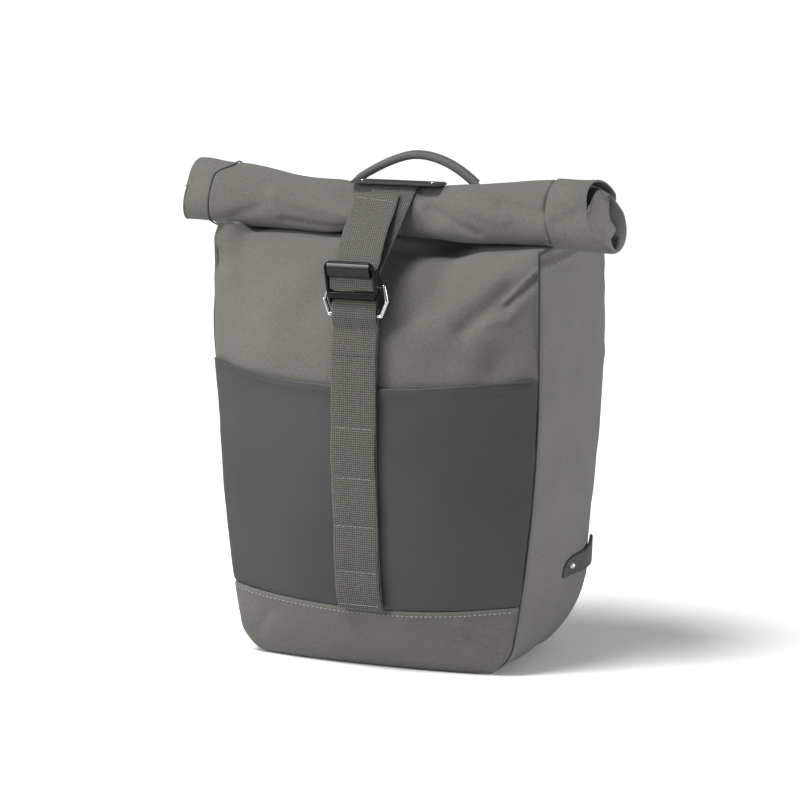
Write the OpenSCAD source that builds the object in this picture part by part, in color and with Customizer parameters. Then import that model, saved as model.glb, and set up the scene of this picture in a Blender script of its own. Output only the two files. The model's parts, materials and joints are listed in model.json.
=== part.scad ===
// Roll-top pannier bag. Millimetres. X to the right, Y towards the rack, Z up.
// The origin lies on the ground under the middle of the side panels.

/* [Bag body] */
// Half width at the foot of the side walls
base_half_w = 118; // [112:1:122]
// Half width at the pocket's top and above
top_half_w = 144; // [140:1:148]
// Depth of the side panels
depth = 151; // [146:1:156]
// Radius of the lower side corners
corner_r = 26; // [20:1:30]
// Forward bulge of the front along the ground
base_bulge = 8; // [6:1:10]
// Further bulge that the filled front reaches higher up
front_bulge = 36; // [34:1:37]
// Thickness of the fabric walls
wall_t = 2.2; // [1.8:0.1:2.4]
// Height of the seam between the lower band and the pocket
band_h = 60; // [55:1:65]
// Height of the pocket's open edge
pocket_h = 247; // [235:1:252]
// Height of the fold where the side walls turn in to the roll
fold_h = 346; // [344:1:347]
// Rise of the lower rear edge above the ground
rear_rise = 34; // [28:1:36]

/* [Rolled top] */
// Half length of the roll
roll_half_len = 192; // [188:1:195]
// Long half axis of the roll's section
roll_a = 33; // [32:0.5:34]
// Short half axis of the roll's section
roll_b = 20; // [19:0.5:21]
// Height of the roll's axis
roll_z = 384; // [383.5:0.5:385]

/* [Closure] */
// Width of all webbing
webbing_w = 40; // [38:1:40]
// Slope of the closure strap below horizontal
strap_slope = 39; // [38.5:0.5:39.5]
// Wire radius of the ring
ring_wire_r = 1.75; // [1.5:0.05:1.75]
// Width of the ring between its outer sides
ring_w = 59; // [58:1:60]

/* [Rack fittings] */
// Radius of the rack tube that the upper hooks hold
rack_tube_r = 8; // [7.5:0.1:8]
// Radius of the rack leg that the lower hook holds
rack_leg_r = 6; // [5:0.5:6]
// Distance of each upper hook from the middle
hook_x = 60; // [55:1:65]
// Width of an upper hook
hook_w = 24; // [22:1:26]

/* [Hidden] */
$fn = 48;

fabric = [0.45, 0.45, 0.43];
coated = [0.30, 0.30, 0.30];
webbing_grey = [0.42, 0.41, 0.38];
leatherette = [0.25, 0.25, 0.25];
black_metal = [0.10, 0.10, 0.11];
bright_metal = [0.80, 0.80, 0.82];
hard_plastic = [0.13, 0.13, 0.14];

// Gaps: cloth to cloth, hard part to hard part, and a running pin
cloth_gap = 0.4;
part_gap = 0.3;
pin_gap = 0.07;

half_d = depth / 2;
taper_h = 250;          // height at which the side walls stop spreading
taper_power = 1.9;      // how quickly they spread below it
bulge_h = 62;           // height over which the front's bulge builds up
lift_power = 0.77;      // shape of the shoulder's rise
turn_power = 1.25;      // shape of the shoulder's turn towards the rack
neck_power = 1.5;       // how the neck widens towards the roll
neck_crown = 6;         // height of the arch in the rear of the neck
side_belly = 4;         // outward swell of the side walls
flat_end = 40;          // the base is flat up to this Y
shoulder_h = 230;       // the front starts to turn back at this height
shoulder_top = 349;     // and ends here, under the roll
shoulder_y = -58;       // Y of the front sheet under the middle of the roll
corner_shoulder_y = -72; // Y of the front sheet at its corners there
neck_y = -8;            // Y where the neck meets the roll
neck_z = 388;           // height where the neck meets the roll
neck_half_w = 186;      // half width of the neck at the roll
front_neck_inset = 5;   // the front sheet is narrower than that by this much
front_power = 2.4;      // shape of the bulge across the front
seam_inset = 2.6;       // distance from a seam to the edge of each sheet

function mix(a, b, t) = a + (b - a) * t;
function unit(v) = v / norm(v);

// Half width of the side wall at a height, before the lower corner is rounded
function half_w(z) =
  top_half_w - (top_half_w - base_half_w) * pow(max(0, 1 - z / taper_h), taper_power);

// Half width with the rounded lower corner, z counted from the wall's own foot
function corner_w(z) =
  half_w(z) - corner_r + sqrt(pow(corner_r, 2) - pow(max(0, corner_r - z), 2));

function bulge(z) = base_bulge + front_bulge * (1 - exp(-z / bulge_h));

// The front sheet below the shoulder
function front_y(u, z) = -half_d - bulge(z) * (1 - pow(abs(u), front_power));

// Rise of the base towards the rack, from the end of its flat part
function base_rise(y) = rear_rise * pow(max(0, y - flat_end) / (half_d - flat_end), 1.4);

// Path up the walls: 0 to 1 rounded corner, 1 to 2 wall, 2 to 3 neck
function foot_z(v) = corner_r * (1 - cos(90 * min(v, 1)));

function front_low(u, v) =
  let (z = v < 1 ? foot_z(v) : mix(corner_r, shoulder_h, v - 1))
  [u * corner_w(z), front_y(u, z), z];

function front_shoulder(u, t) =
  let (
    top_y = mix(shoulder_y, corner_shoulder_y, pow(abs(u), 4)),
    z = mix(shoulder_h, shoulder_top, pow(sin(90 * t), lift_power)),
    y = mix(top_y, front_y(u, shoulder_h), pow(cos(90 * t), turn_power))
  )
  [u * half_w(z), y, z];

function front_neck(u, t) =
  let (top_y = mix(shoulder_y, corner_shoulder_y, pow(abs(u), 4)))
  [
    u * mix(half_w(shoulder_top), neck_half_w - front_neck_inset, pow(t, neck_power)),
    mix(top_y, neck_y - 1, sin(90 * t)),
    mix(shoulder_top, neck_z - 2, 1 - cos(90 * t))
  ];

// Front sheet: v runs 0 to 2 up to the shoulder, 2 to 3 over it, 3 to 4 under the roll
front_sheet = function(u, v)
  v <= 2 ? front_low(u, v)
  : v <= 3 ? front_shoulder(u, v - 2)
  : front_neck(u, v - 3);

function wall_z(y, v) =
  base_rise(y) + (v < 1 ? foot_z(v) : mix(corner_r, fold_h - base_rise(y), v - 1));

// Side wall on the right: w runs 0 at the front seam to 1 at the rear seam
gusset_sheet = function(w, v)
  let (
    y = mix(-half_d, half_d, w),
    z = wall_z(y, min(v, 2)),
    x = corner_w(z - base_rise(y)) + side_belly * sin(180 * w) * sin(60 * min(v, 2)),
    t = max(0, v - 2),
    along = mix(sin(90 * t), t, w),
    up = mix(1 - cos(90 * t), t, w)
  )
  [mix(x, neck_half_w, pow(t, neck_power)), mix(y, neck_y, along), mix(z, neck_z, up)];

// Rear sheet of the neck: u across, t from the rear wall forward to the roll
neck_sheet = function(u, t)
  [
    u * mix(half_w(fold_h), neck_half_w, pow(t, neck_power)),
    mix(half_d, neck_y + 3, t),
    mix(fold_h + 5, neck_z, t) + neck_crown * sin(180 * t)
  ];

// Outward unit normal of a sheet, by small steps along it; side is 1 or -1
function sheet_normal(f, u, v, side) =
  let (
    step = 0.002,
    du = f(u + step, v) - f(u - step, v),
    dv = f(u, v + step) - f(u, v - step)
  )
  side * unit(cross(du, dv));

// A closed sheet over f between two distances from it, on a grid of nu by nv cells
module sheet(f, u_range, nu, v_range, nv, outer, inner, side = 1) {
  grid = [
    for (j = [0:nv]) for (i = [0:nu])
      [mix(u_range[0], u_range[1], i / nu), mix(v_range[0], v_range[1], j / nv)]
  ];
  top = [for (g = grid) f(g[0], g[1]) + outer * sheet_normal(f, g[0], g[1], side)];
  low = [for (g = grid) f(g[0], g[1]) + inner * sheet_normal(f, g[0], g[1], side)];
  n = len(grid);
  row = nu + 1;
  edge = concat(
    [for (i = [0:nu - 1]) i],
    [for (j = [0:nv - 1]) j * row + nu],
    [for (i = [nu:-1:1]) nv * row + i],
    [for (j = [nv:-1:1]) j * row]
  );
  cells = [for (j = [0:nv - 1]) for (i = [0:nu - 1]) j * row + i];
  faces = concat(
    [for (c = cells) each [[c, c + row, c + 1], [c + 1, c + row, c + row + 1]]],
    [for (c = cells) each [
      [n + c, n + c + 1, n + c + row], [n + c + 1, n + c + row + 1, n + c + row]
    ]],
    [for (k = [0:len(edge) - 1]) let (p = edge[k], q = edge[(k + 1) % len(edge)])
      each [[p, q, n + p], [q, n + q, n + p]]]
  );
  turned = [for (t = faces) [t[0], t[2], t[1]]];
  polyhedron(concat(top, low), side > 0 ? faces : turned, convexity = 6);
}

// A 2D outline given in Y and Z, drawn out along X
module along_x(x0, x1) {
  translate([x0, 0, 0]) rotate([90, 0, 90]) linear_extrude(x1 - x0) children();
}

// A 2D outline given in X and Z, drawn out along Y
module along_y(y0, y1) {
  translate([0, y1, 0]) rotate([90, 0, 0]) linear_extrude(y1 - y0) children();
}

module rod_x(x0, x1, y, z, r) {
  translate([x0, y, z]) rotate([0, 90, 0]) cylinder(h = x1 - x0, r = r);
}

module rod_y(y0, y1, x, z, r) {
  translate([x, y1, z]) rotate([90, 0, 0]) cylinder(h = y1 - y0, r = r);
}

module box_2d(a, b) {
  translate(a) square([b[0] - a[0], b[1] - a[1]]);
}

// ---- Fabric walls ----

module front_panel() {
  edge = 1 - seam_inset / base_half_w;
  color(fabric) sheet(front_sheet, [-edge, edge], 24, [0.32, 3.8], 30, 0, -wall_t);
}

module pocket_panel() {
  low_v = 1 + (band_h + 1 - corner_r) / (shoulder_h - corner_r);
  top_v = 2 + asin(pow((pocket_h - shoulder_h) / (shoulder_top - shoulder_h), 1 / lift_power)) / 90;
  color(coated)
    sheet(front_sheet, [-0.965, 0.965], 20, [low_v, top_v], 10, cloth_gap + 2, cloth_gap);
}

module base_band() {
  top_v = 1 + (band_h - 1 - corner_r) / (shoulder_h - corner_r);
  color(fabric)
    sheet(front_sheet, [-0.965, 0.965], 20, [0.34, top_v], 6, cloth_gap + 2, cloth_gap);
}

module right_gusset() {
  inset = seam_inset / depth;
  color(fabric) sheet(gusset_sheet, [inset, 1 - inset], 10, [0.1, 2.7], 22, 0, -wall_t);
}

module left_gusset() {
  mirror([1, 0, 0]) right_gusset();
}

// Outline of the rear wall, with its lower corners rounded
function rear_outline(inset) =
  let (
    foot = rear_rise + inset,
    steps = 8,
    right = [for (k = [1:steps]) let (z = foot_z(k / steps)) [corner_w(z) - inset, foot + z]],
    upper = [for (k = [1:6]) let (z = mix(corner_r, fold_h - rear_rise - inset, k / 6))
      [corner_w(z) - inset, foot + z]],
    side = concat([[corner_w(0) - inset, foot]], right, upper)
  )
  concat(side, [for (k = [len(side) - 1:-1:0]) [-side[k][0], side[k][1]]]);

screw_r = 2;
rail_z = 315;
track_z = 95;
rail_screw_x = [-101, -10, 10, 101];
track_screw_x = [-62, 62];

module screw_holes(y0, y1) {
  for (x = rail_screw_x) rod_y(y0, y1, x, rail_z, screw_r + 0.1);
  for (x = track_screw_x) rod_y(y0, y1, x, track_z, screw_r + 0.1);
}

module rear_panel() {
  color(fabric) difference() {
    along_y(half_d - wall_t, half_d) polygon(rear_outline(3));
    screw_holes(half_d - 5, half_d + 1);
  }
}

board_t = 2.5;
board_y = half_d - wall_t - cloth_gap - board_t;

module back_board() {
  color(hard_plastic) difference() {
    along_y(board_y, board_y + board_t) polygon(rear_outline(14));
    screw_holes(board_y - 1, board_y + board_t + 1);
  }
}

// Side profile of the base, between two heights above its underside
function base_profile(low, high, front, rear) =
  let (ys = concat([front], [for (k = [0:6]) mix(flat_end, rear, k / 6)]))
  concat(
    [for (y = ys) [y, base_rise(y) + low]],
    [for (k = [len(ys) - 1:-1:0]) [ys[k], base_rise(ys[k]) + high]]
  );

module base_panel() {
  w = base_half_w - corner_r - 6;
  color(fabric) along_x(-w, w)
    polygon(base_profile(0, wall_t, -half_d + 2, half_d - 4));
}

module base_board() {
  w = base_half_w - corner_r - 8;
  low = wall_t + cloth_gap;
  color(hard_plastic) along_x(-w, w)
    polygon(base_profile(low, low + 3, -half_d + 6, half_d - 18));
}

module neck_panel() {
  color(fabric) sheet(neck_sheet, [0.985, -0.985], 20, [0.02, 0.97], 6, 0, -wall_t);
}

piping_r = 1.7;

// Cord sewn into a front seam, on the right
module right_piping() {
  stations = 22;
  around = 8;
  path = [for (k = [0:stations]) let (p = front_sheet(1, mix(0.75, 2.8, k / stations)))
    [p[0], -half_d, p[2]]];
  points = [
    for (p = path) for (a = [0:around - 1])
      p + piping_r * [cos(360 * a / around), sin(360 * a / around), 0]
  ];
  faces = concat(
    [for (k = [0:stations - 1]) for (a = [0:around - 1])
      let (b = (a + 1) % around, low = k * around, up = low + around)
      each [[low + a, up + a, low + b], [low + b, up + a, up + b]]],
    [[for (a = [0:around - 1]) a]],
    [[for (a = [around - 1:-1:0]) stations * around + a]]
  );
  color(black_metal) polyhedron(points, faces, convexity = 4);
}

module left_piping() {
  mirror([1, 0, 0]) right_piping();
}

// ---- Front webbing with the ring's loop ----

ring_pivot = [-120, 300];
loop_in_r = ring_wire_r + pin_gap;
loop_out_r = loop_in_r + 2.3;
webbing_low = 55;
webbing_top = 288;

function front_mid(z) =
  z < shoulder_h ? front_y(0, z)
  : mix(shoulder_y, front_y(0, shoulder_h),
        pow(1 - pow((z - shoulder_h) / (shoulder_top - shoulder_h), 2 / lift_power), turn_power / 2));

module daisy_webbing() {
  inner = 2 + 2 * cloth_gap;
  outer = inner + 2.4;
  zs = [for (k = [0:16]) mix(webbing_low, webbing_top, k / 16)];
  color(webbing_grey) along_x(-webbing_w / 2, webbing_w / 2) difference() {
    union() {
      polygon(concat(
        [for (z = zs) [front_mid(z) - outer, z]],
        [[ring_pivot[0] - loop_out_r + 0.6, ring_pivot[1] - 1]],
        [[ring_pivot[0] + loop_out_r - 0.6, ring_pivot[1] - 1]],
        [for (k = [len(zs) - 1:-1:0]) [front_mid(zs[k]) - inner, zs[k]]]
      ));
      translate(ring_pivot) circle(loop_out_r);
    }
    translate(ring_pivot) circle(loop_in_r);
  }
}

// ---- Side tabs ----

tab_z = 74.5;      // height of the middle of the tabs
tab_front_y = 1;    // their rounded front end
tab_half_h = 11;

function gusset_v(z) = 1 + (z - corner_r) / (fold_h - corner_r);

// D-shaped tab lying on the right side wall, p from its round end to the rear seam
tab_sheet = function(p, q)
  let (
    y = mix(tab_front_y, half_d - 4, p),
    h = tab_half_h * pow(1 - pow(1 - p, 8), 0.5)
  )
  gusset_sheet((y + half_d) / depth, gusset_v(tab_z + q * h));

module right_tab() {
  color(leatherette) sheet(tab_sheet, [0.03, 1], 12, [-1, 1], 6, cloth_gap + 2, cloth_gap);
}

module left_tab() {
  mirror([1, 0, 0]) right_tab();
}

rivet_r = 4;
rivet_y = 20;
rivet_stand = 5.6;  // the head's foot stands this far out from the plain side wall

// Domed rivet head standing on the XY plane
module rivet_head(r) {
  rotate_extrude() intersection() {
    translate([0, -r * 1.6]) circle(r * 2);
    square([r, r]);
  }
}

module tab_rivets() {
  x = corner_w(tab_z) + side_belly * sin(180 * (rivet_y + half_d) / depth) + rivet_stand;
  color(bright_metal) for (side = [-1, 1])
    translate([side * x, rivet_y, tab_z]) rotate([0, side * 90, 0]) rivet_head(rivet_r);
}

// ---- Rolled top ----

roll_lean = 36;     // lean of the section's long axis from vertical, degrees
roll_y = -37;
roll_turns = 1.6;
roll_start = -60;   // angle round the section where the neck joins the roll
roll_shrink = 0.24; // loss of size in one turn
roll_sheet_t = 2.2;
axis_long = [sin(roll_lean), cos(roll_lean)];
axis_short = [-cos(roll_lean), sin(roll_lean)];

// How far the strap pinches the roll at x: 1 in the middle, 0 at the ends
function pinch(x) = 1 / (1 + pow(abs(x) / 62, 4));
function roll_long(x) = roll_a - 11 * pinch(x);
function roll_short(x) = roll_b - 6 * pinch(x);
function roll_centre(x) = [roll_y, roll_z - 4 * pinch(x) - 4 * x / roll_half_len];

// Point of the section at x: angle, size factor and distance out from that size
function roll_point(x, angle, size, off) =
  roll_centre(x)
  + (roll_long(x) * size + off) * cos(angle) * axis_long
  + (roll_short(x) * size + off) * sin(angle) * axis_short;

module rolled_top() {
  steps = 42;
  stations = 20;
  n = steps + 1;
  function layer(x, off) = [
    for (k = [0:steps])
      let (
        angle = roll_start + 360 * roll_turns * k / steps,
        size = 1 - roll_shrink * roll_turns * k / steps,
        p = roll_point(x, angle, size, off)
      )
      [x, p[0], p[1]]
  ];
  function reversed(list) = [for (k = [len(list) - 1:-1:0]) list[k]];
  ring_len = 2 * n;
  points = [
    for (j = [0:stations])
      let (x = mix(-roll_half_len, roll_half_len, j / stations))
      each concat(layer(x, 0), reversed(layer(x, -roll_sheet_t)))
  ];
  last = stations * ring_len;
  faces = concat(
    [for (j = [0:stations - 1]) for (k = [0:ring_len - 1])
      let (m = (k + 1) % ring_len, low = j * ring_len, up = low + ring_len)
      each [[low + k, up + k, low + m], [low + m, up + k, up + m]]],
    [for (k = [0:steps - 1]) let (a = k, b = k + 1, c = ring_len - 1 - k, d = ring_len - 2 - k)
      each [[a, b, c], [b, d, c]]],
    [for (k = [0:steps - 1]) let (a = k, b = k + 1, c = ring_len - 1 - k, d = ring_len - 2 - k)
      each [[last + a, last + c, last + b], [last + b, last + c, last + d]]]
  );
  color(fabric) polyhedron(points, faces, convexity = 10);
}

module roll_stiffener() {
  c = roll_centre(0);
  color(hard_plastic) along_x(-165, 165)
    translate(c) rotate(90 - roll_lean) translate([-8, -0.8]) square([16, 1.6]);
}

// ---- Closure strap, plate and buckle ----

strap_t = 3;
strap_layer_t = 1.5;
strap_dir = [-cos(strap_slope), -sin(strap_slope)];
strap_up = [-sin(strap_slope), cos(strap_slope)];
// Angle round the pinched section where its tangent has the strap's slope
leave_angle = atan2(
  roll_short(0) * (strap_up * axis_short), roll_long(0) * (strap_up * axis_long)
);
strap_lift = cloth_gap + strap_t / 2;
leave = roll_point(0, leave_angle, 1, strap_lift);
swing_at = 17;    // from the roll to where the strap bends when it is lifted
bar_at = 105;     // from the roll to the buckle's bar, which the strap's loop turns round
swing = leave + swing_at * strap_dir;
bar = leave + bar_at * strap_dir;
bar_r = 2.2;
strap_loop_in = bar_r + pin_gap;
strap_loop_out = strap_loop_in + strap_layer_t;

module strap_root() {
  angles = [for (k = [0:8]) mix(24, leave_angle, k / 8)];
  low = [for (a = angles) roll_point(0, a, 1, cloth_gap)];
  high = [for (a = [len(angles) - 1:-1:0]) roll_point(0, angles[a], 1, cloth_gap + strap_t)];
  low_stop = swing - 1 * strap_dir;
  high_stop = swing - 2.6 * strap_dir;
  color(webbing_grey) along_x(-webbing_w / 2, webbing_w / 2) difference() {
    union() {
      polygon(concat(low, high));
      polygon([
        leave - strap_t / 2 * strap_up, leave + strap_t / 2 * strap_up,
        high_stop + strap_t / 2 * strap_up, low_stop - strap_t / 2 * strap_up
      ]);
    }
    translate(swing) circle(strap_t / 2 + part_gap);
  }
}

plate_w = 80;
plate_d = 24;
plate_t = 2;
plate_tilt = 9;
plate_at = [0, -33.5, 404.2];
plate_rivet_x = 32;

module strap_plate() {
  color(leatherette) translate(plate_at) rotate([plate_tilt, 0, 0]) difference() {
    linear_extrude(plate_t) hull() for (side = [-1, 1])
      translate([side * (plate_w / 2 - 8), 0]) scale([1, 1.5]) circle(8);
    for (side = [-1, 1]) translate([side * plate_rivet_x, 0, -1])
      cylinder(h = plate_t + 2, r = 1.6);
  }
}

module plate_rivets() {
  color(bright_metal) translate(plate_at) rotate([plate_tilt, 0, 0]) for (side = [-1, 1])
    translate([side * plate_rivet_x, 0, 0]) {
      cylinder(h = plate_t + 0.5, r = 1.5);
      translate([0, 0, plate_t + 0.1]) rivet_head(3.4);
    }
}

// One layer of the strap, from start to end, between distances from its middle line
function strap_strip(start, end, a0, a1, b0, b1) = [
  start + a0 * strap_up, start + a1 * strap_up, end + b1 * strap_up, end + b0 * strap_up
];

tail_turn = 5.5;     // the loose tail lies askew on the strap, degrees
tail_low = 3;      // it starts this far above the buckle's bar
tail_stop = 9;     // and its hem stops this far from the bend

module closure_strap() {
  half = webbing_w / 2 - 0.3;
  color(webbing_grey) difference() {
    union() {
      along_x(-half, half) {
        translate(swing) circle(strap_layer_t);
        polygon(strap_strip(swing, bar, -1.5, 0, -strap_loop_out, -strap_loop_in));
        translate(bar) circle(strap_loop_out);
      }
      // The tail turns about the line square to the strap through the bar
      translate([0, bar[0], bar[1]]) rotate([strap_slope, 0, 0]) rotate([0, 0, tail_turn])
        translate([-half, tail_low, strap_loop_in])
          cube([2 * half, bar_at - swing_at - tail_stop - tail_low, strap_layer_t]);
      along_x(-half, half)
        polygon(strap_strip(bar - 6 * strap_dir, bar, strap_loop_in, strap_loop_out,
                            strap_loop_in, strap_loop_out));
    }
    rod_x(-30, 30, bar[0], bar[1], strap_loop_in);
  }
}

buckle_half_w = 22.6;
side_t = 2;
top_bar = [-131.5, 342.5];    // upper edge of the broad top bar
top_bar_low = [-130, 336.8];  // and its lower edge
top_bar_r = 2.9;
low_bar = [-124.5, 316.5];
low_bar_r = 2.6;
catch = [-118.5, 324];        // the ring's upper bar, in the buckle's open slot
slot_half = ring_wire_r + 0.5;
slot_drop = 48;               // slope of the slot below horizontal, degrees

module buckle_side_2d() {
  difference() {
    union() {
      polygon([
        [-134.6, 343], [-131, 346], [-126, 342.5], [-115.8, 328], [-110.5, 309],
        [-114, 305.4], [-122, 305.4], [-127.6, 315], [-133, 331]
      ]);
      translate(top_bar) circle(top_bar_r + 0.5);
    }
    translate(catch) circle(slot_half);
    translate(catch) rotate(-slot_drop) translate([0, -slot_half]) square([30, 2 * slot_half]);
  }
}

module hook_buckle() {
  inner = buckle_half_w - side_t;
  color(black_metal) union() {
    for (side = [-1, 1])
      along_x(side * (inner + side_t / 2) - side_t / 2, side * (inner + side_t / 2) + side_t / 2)
        buckle_side_2d();
    along_x(-inner - 1, inner + 1) hull() {
      translate(top_bar) circle(top_bar_r);
      translate(top_bar_low) circle(top_bar_r);
    }
    rod_x(-inner - 1, inner + 1, bar[0], bar[1], bar_r);
    rod_x(-inner - 1, inner + 1, low_bar[0], low_bar[1], low_bar_r);
  }
}

ring_low_half = 23;     // half length of the ring's pivot bar
ring_top_half = 24.8;   // and of its catch bar
bend_swell = 0.08;      // the wire is this much thicker at each bend

// Six-sided ring of wire from its pivot bar up to its catch bar, widest half way
module hook_ring() {
  rise = norm(catch - ring_pivot);
  lean = atan2(catch[0] - ring_pivot[0], catch[1] - ring_pivot[1]);
  mid_half = ring_w / 2 - ring_wire_r;
  corners = [
    [ring_low_half, 0], [mid_half, rise / 2], [ring_top_half, rise],
    [-ring_top_half, rise], [-mid_half, rise / 2], [-ring_low_half, 0]
  ];
  color(bright_metal) translate([0, ring_pivot[0], ring_pivot[1]]) rotate([-lean, 0, 0])
    union() for (k = [0:5]) let (a = corners[k], d = corners[(k + 1) % 6] - a)
      translate([a[0], 0, a[1]]) {
        sphere(ring_wire_r + bend_swell);
        rotate([0, atan2(d[0], d[1]), 0]) cylinder(h = norm(d), r = ring_wire_r);
      }
}

// ---- Carry handle ----

handle_y = 2;
handle_z = 397;
handle_half = 57;
handle_rise = 26;
handle_r = 3;
handle_pin_r = 3.2;
loop_x0 = 61.5;
loop_x1 = 73;
loop_out_h = handle_pin_r + 1.8;
loop_slope = 21;    // the loops' tangs follow the neck down at this slope, degrees
loop_tang = 34;

module carry_handle() {
  arc_r = (pow(handle_half, 2) + pow(handle_rise, 2)) / (2 * handle_rise);
  arc_half = asin(handle_half / arc_r);
  color(fabric) union() {
    for (y = [-3.5, 3.5])
      translate([0, handle_y + y, handle_z + handle_rise - arc_r]) rotate([90, 0, 0])
        rotate([0, 0, 90 - arc_half])
          rotate_extrude(angle = 2 * arc_half) translate([arc_r, 0]) circle(handle_r);
    for (side = [-1, 1])
      rod_x(side > 0 ? 53 : -loop_x1, side > 0 ? loop_x1 : -53, handle_y, handle_z, handle_pin_r);
  }
}

module handle_loops() {
  color(webbing_grey) for (side = [-1, 1]) {
    x0 = side > 0 ? loop_x0 : -loop_x1;
    x1 = side > 0 ? loop_x1 : -loop_x0;
    along_x(x0, x1) difference() {
      union() {
        translate([handle_y, handle_z]) circle(loop_out_h);
        translate([handle_y, handle_z]) rotate(-loop_slope)
          translate([0, -loop_out_h]) square([loop_tang, 1.6]);
      }
      translate([handle_y, handle_z]) circle(handle_pin_r + pin_gap);
    }
  }
}

// ---- Upper rack fittings ----

rail_half_len = 110;
rail_back = half_d + part_gap;
rail_d = 13;
rail_h = 34;
rail_wall = 4;
channel_d = 5.5;
channel_h = 24;
mouth_h = 14;

// Section of a rail with a T-shaped channel, rack side open
module channel_2d(z, back, d, h, wall, in_d, in_h, mouth) {
  difference() {
    box_2d([back, z - h / 2], [back + d, z + h / 2]);
    box_2d([back + wall, z - in_h / 2], [back + wall + in_d, z + in_h / 2]);
    box_2d([back + wall + in_d - 0.1, z - mouth / 2], [back + d + 1, z + mouth / 2]);
  }
}

module mounting_rail() {
  color(hard_plastic) difference() {
    along_x(-rail_half_len, rail_half_len)
      channel_2d(rail_z, rail_back, rail_d, rail_h, rail_wall, channel_d, channel_h, mouth_h);
    for (x = rail_screw_x)
      rod_y(rail_back - 1, rail_back + rail_wall + 1, x, rail_z, screw_r + 0.1);
  }
}

// Pan-head screw from inside a channel through to its nut
module screw(x, z, head_y) {
  rod_y(board_y - 3.4, head_y + 0.1, x, z, screw_r);
  rod_y(head_y + 0.05, head_y + 2.4, x, z, 3.8);
}

module nut(x, z) {
  difference() {
    translate([x, board_y - 0.1, z]) rotate([90, 0, 0]) cylinder(h = 3.2, r = 4, $fn = 6);
    rod_y(board_y - 5, board_y + 1, x, z, screw_r + 0.05);
  }
}

module rail_screws() {
  color(bright_metal) for (x = rail_screw_x) screw(x, rail_z, rail_back + rail_wall);
}

module rail_nuts() {
  color(bright_metal) for (x = rail_screw_x) nut(x, rail_z);
}

module rail_end_caps() {
  color(hard_plastic) for (side = [-1, 1])
    translate([side * (rail_half_len + 1.7), rail_back + rail_d / 2, rail_z])
      cube([3, rail_d, rail_h], center = true);
}

tube_y = 107;          // the rack tube's axis, behind the bag
tube_z = 350;
insert_t = 1.5;
seat_r = rack_tube_r + insert_t + 0.05;
hook_out_r = seat_r + 4.5;
plate_y = rail_back + rail_d + part_gap;
pivot_at = [103, 327];
latch_pin_r = 2;
ear_half = 11;
latch_half = 5.5;

module hook_body() {
  foot_y0 = rail_back + rail_wall + part_gap;
  foot_y1 = rail_back + rail_wall + channel_d - part_gap;
  difference() {
    union() {
      along_x(-hook_w / 2, hook_w / 2) {
        box_2d([foot_y0, rail_z - channel_h / 2 + part_gap],
               [foot_y1, rail_z + channel_h / 2 - part_gap]);
        box_2d([foot_y1 - 0.1, rail_z - mouth_h / 2 + part_gap],
               [plate_y + 0.1, rail_z + mouth_h / 2 - part_gap]);
        box_2d([plate_y, rail_z - 22], [plate_y + 5, tube_z]);
        difference() {
          union() {
            translate([tube_y, tube_z]) circle(hook_out_r);
            box_2d([plate_y, tube_z - 4], [tube_y, tube_z + hook_out_r - 5]);
            box_2d([tube_y, tube_z - 9], [tube_y + hook_out_r, tube_z]);
          }
          translate([tube_y, tube_z]) circle(seat_r);
          box_2d([tube_y - seat_r, tube_z - 30], [tube_y + seat_r, tube_z]);
        }
      }
      // Ears that carry the latch's pin
      for (side = [-1, 1])
        along_x(side * (ear_half - 1.2) - 1.2, side * (ear_half - 1.2) + 1.2) {
          box_2d([plate_y, pivot_at[1] - 5], [pivot_at[0], pivot_at[1] + 5]);
          translate(pivot_at) circle(5);
        }
    }
    rod_x(-hook_w, hook_w, pivot_at[0], pivot_at[1], latch_pin_r + 0.02);
  }
}

module insert_body() {
  along_x(-hook_w / 2, hook_w / 2) difference() {
    translate([tube_y, tube_z]) circle(seat_r - 0.05);
    translate([tube_y, tube_z]) circle(rack_tube_r + 0.1);
    box_2d([tube_y - 20, tube_z - 30], [tube_y + 20, tube_z]);
  }
}

module latch_body() {
  difference() {
    along_x(-latch_half, latch_half) union() {
      translate(pivot_at) circle(4.6);
      polygon([
        pivot_at + [-3.6, 3], pivot_at + [0, 9], pivot_at + [4, 12.6], pivot_at + [9.5, 12.8],
        pivot_at + [10.5, 9.5], pivot_at + [5, 3]
      ]);
      polygon([
        pivot_at + [4.2, 1.5], pivot_at + [12, -12], pivot_at + [8.5, -13.5],
        pivot_at + [0, -4.4]
      ]);
    }
    rod_x(-20, 20, pivot_at[0], pivot_at[1], latch_pin_r + pin_gap);
  }
}

module latch_pin_body() {
  rod_x(-hook_w / 2, hook_w / 2, pivot_at[0], pivot_at[1], latch_pin_r);
}

// Closed coil of a torsion spring round the pin, between latch and ear
module spring_body() {
  for (k = [0:3])
    translate([6.2 + 0.62 * k, pivot_at[0], pivot_at[1]]) rotate([0, 90, 0])
      rotate_extrude() translate([3, 0]) circle(0.4, $fn = 16);
}

module left_hook() { color(hard_plastic) translate([-hook_x, 0, 0]) hook_body(); }
module right_hook() { color(hard_plastic) translate([hook_x, 0, 0]) hook_body(); }
module left_insert() { color(coated) translate([-hook_x, 0, 0]) insert_body(); }
module right_insert() { color(coated) translate([hook_x, 0, 0]) insert_body(); }
module left_latch() { color(hard_plastic) translate([-hook_x, 0, 0]) latch_body(); }
module right_latch() { color(hard_plastic) translate([hook_x, 0, 0]) latch_body(); }
module left_latch_pin() { color(bright_metal) translate([-hook_x, 0, 0]) latch_pin_body(); }
module right_latch_pin() { color(bright_metal) translate([hook_x, 0, 0]) latch_pin_body(); }
module left_spring() { color(bright_metal) translate([-hook_x, 0, 0]) spring_body(); }
module right_spring() { color(bright_metal) translate([hook_x, 0, 0]) spring_body(); }

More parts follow.
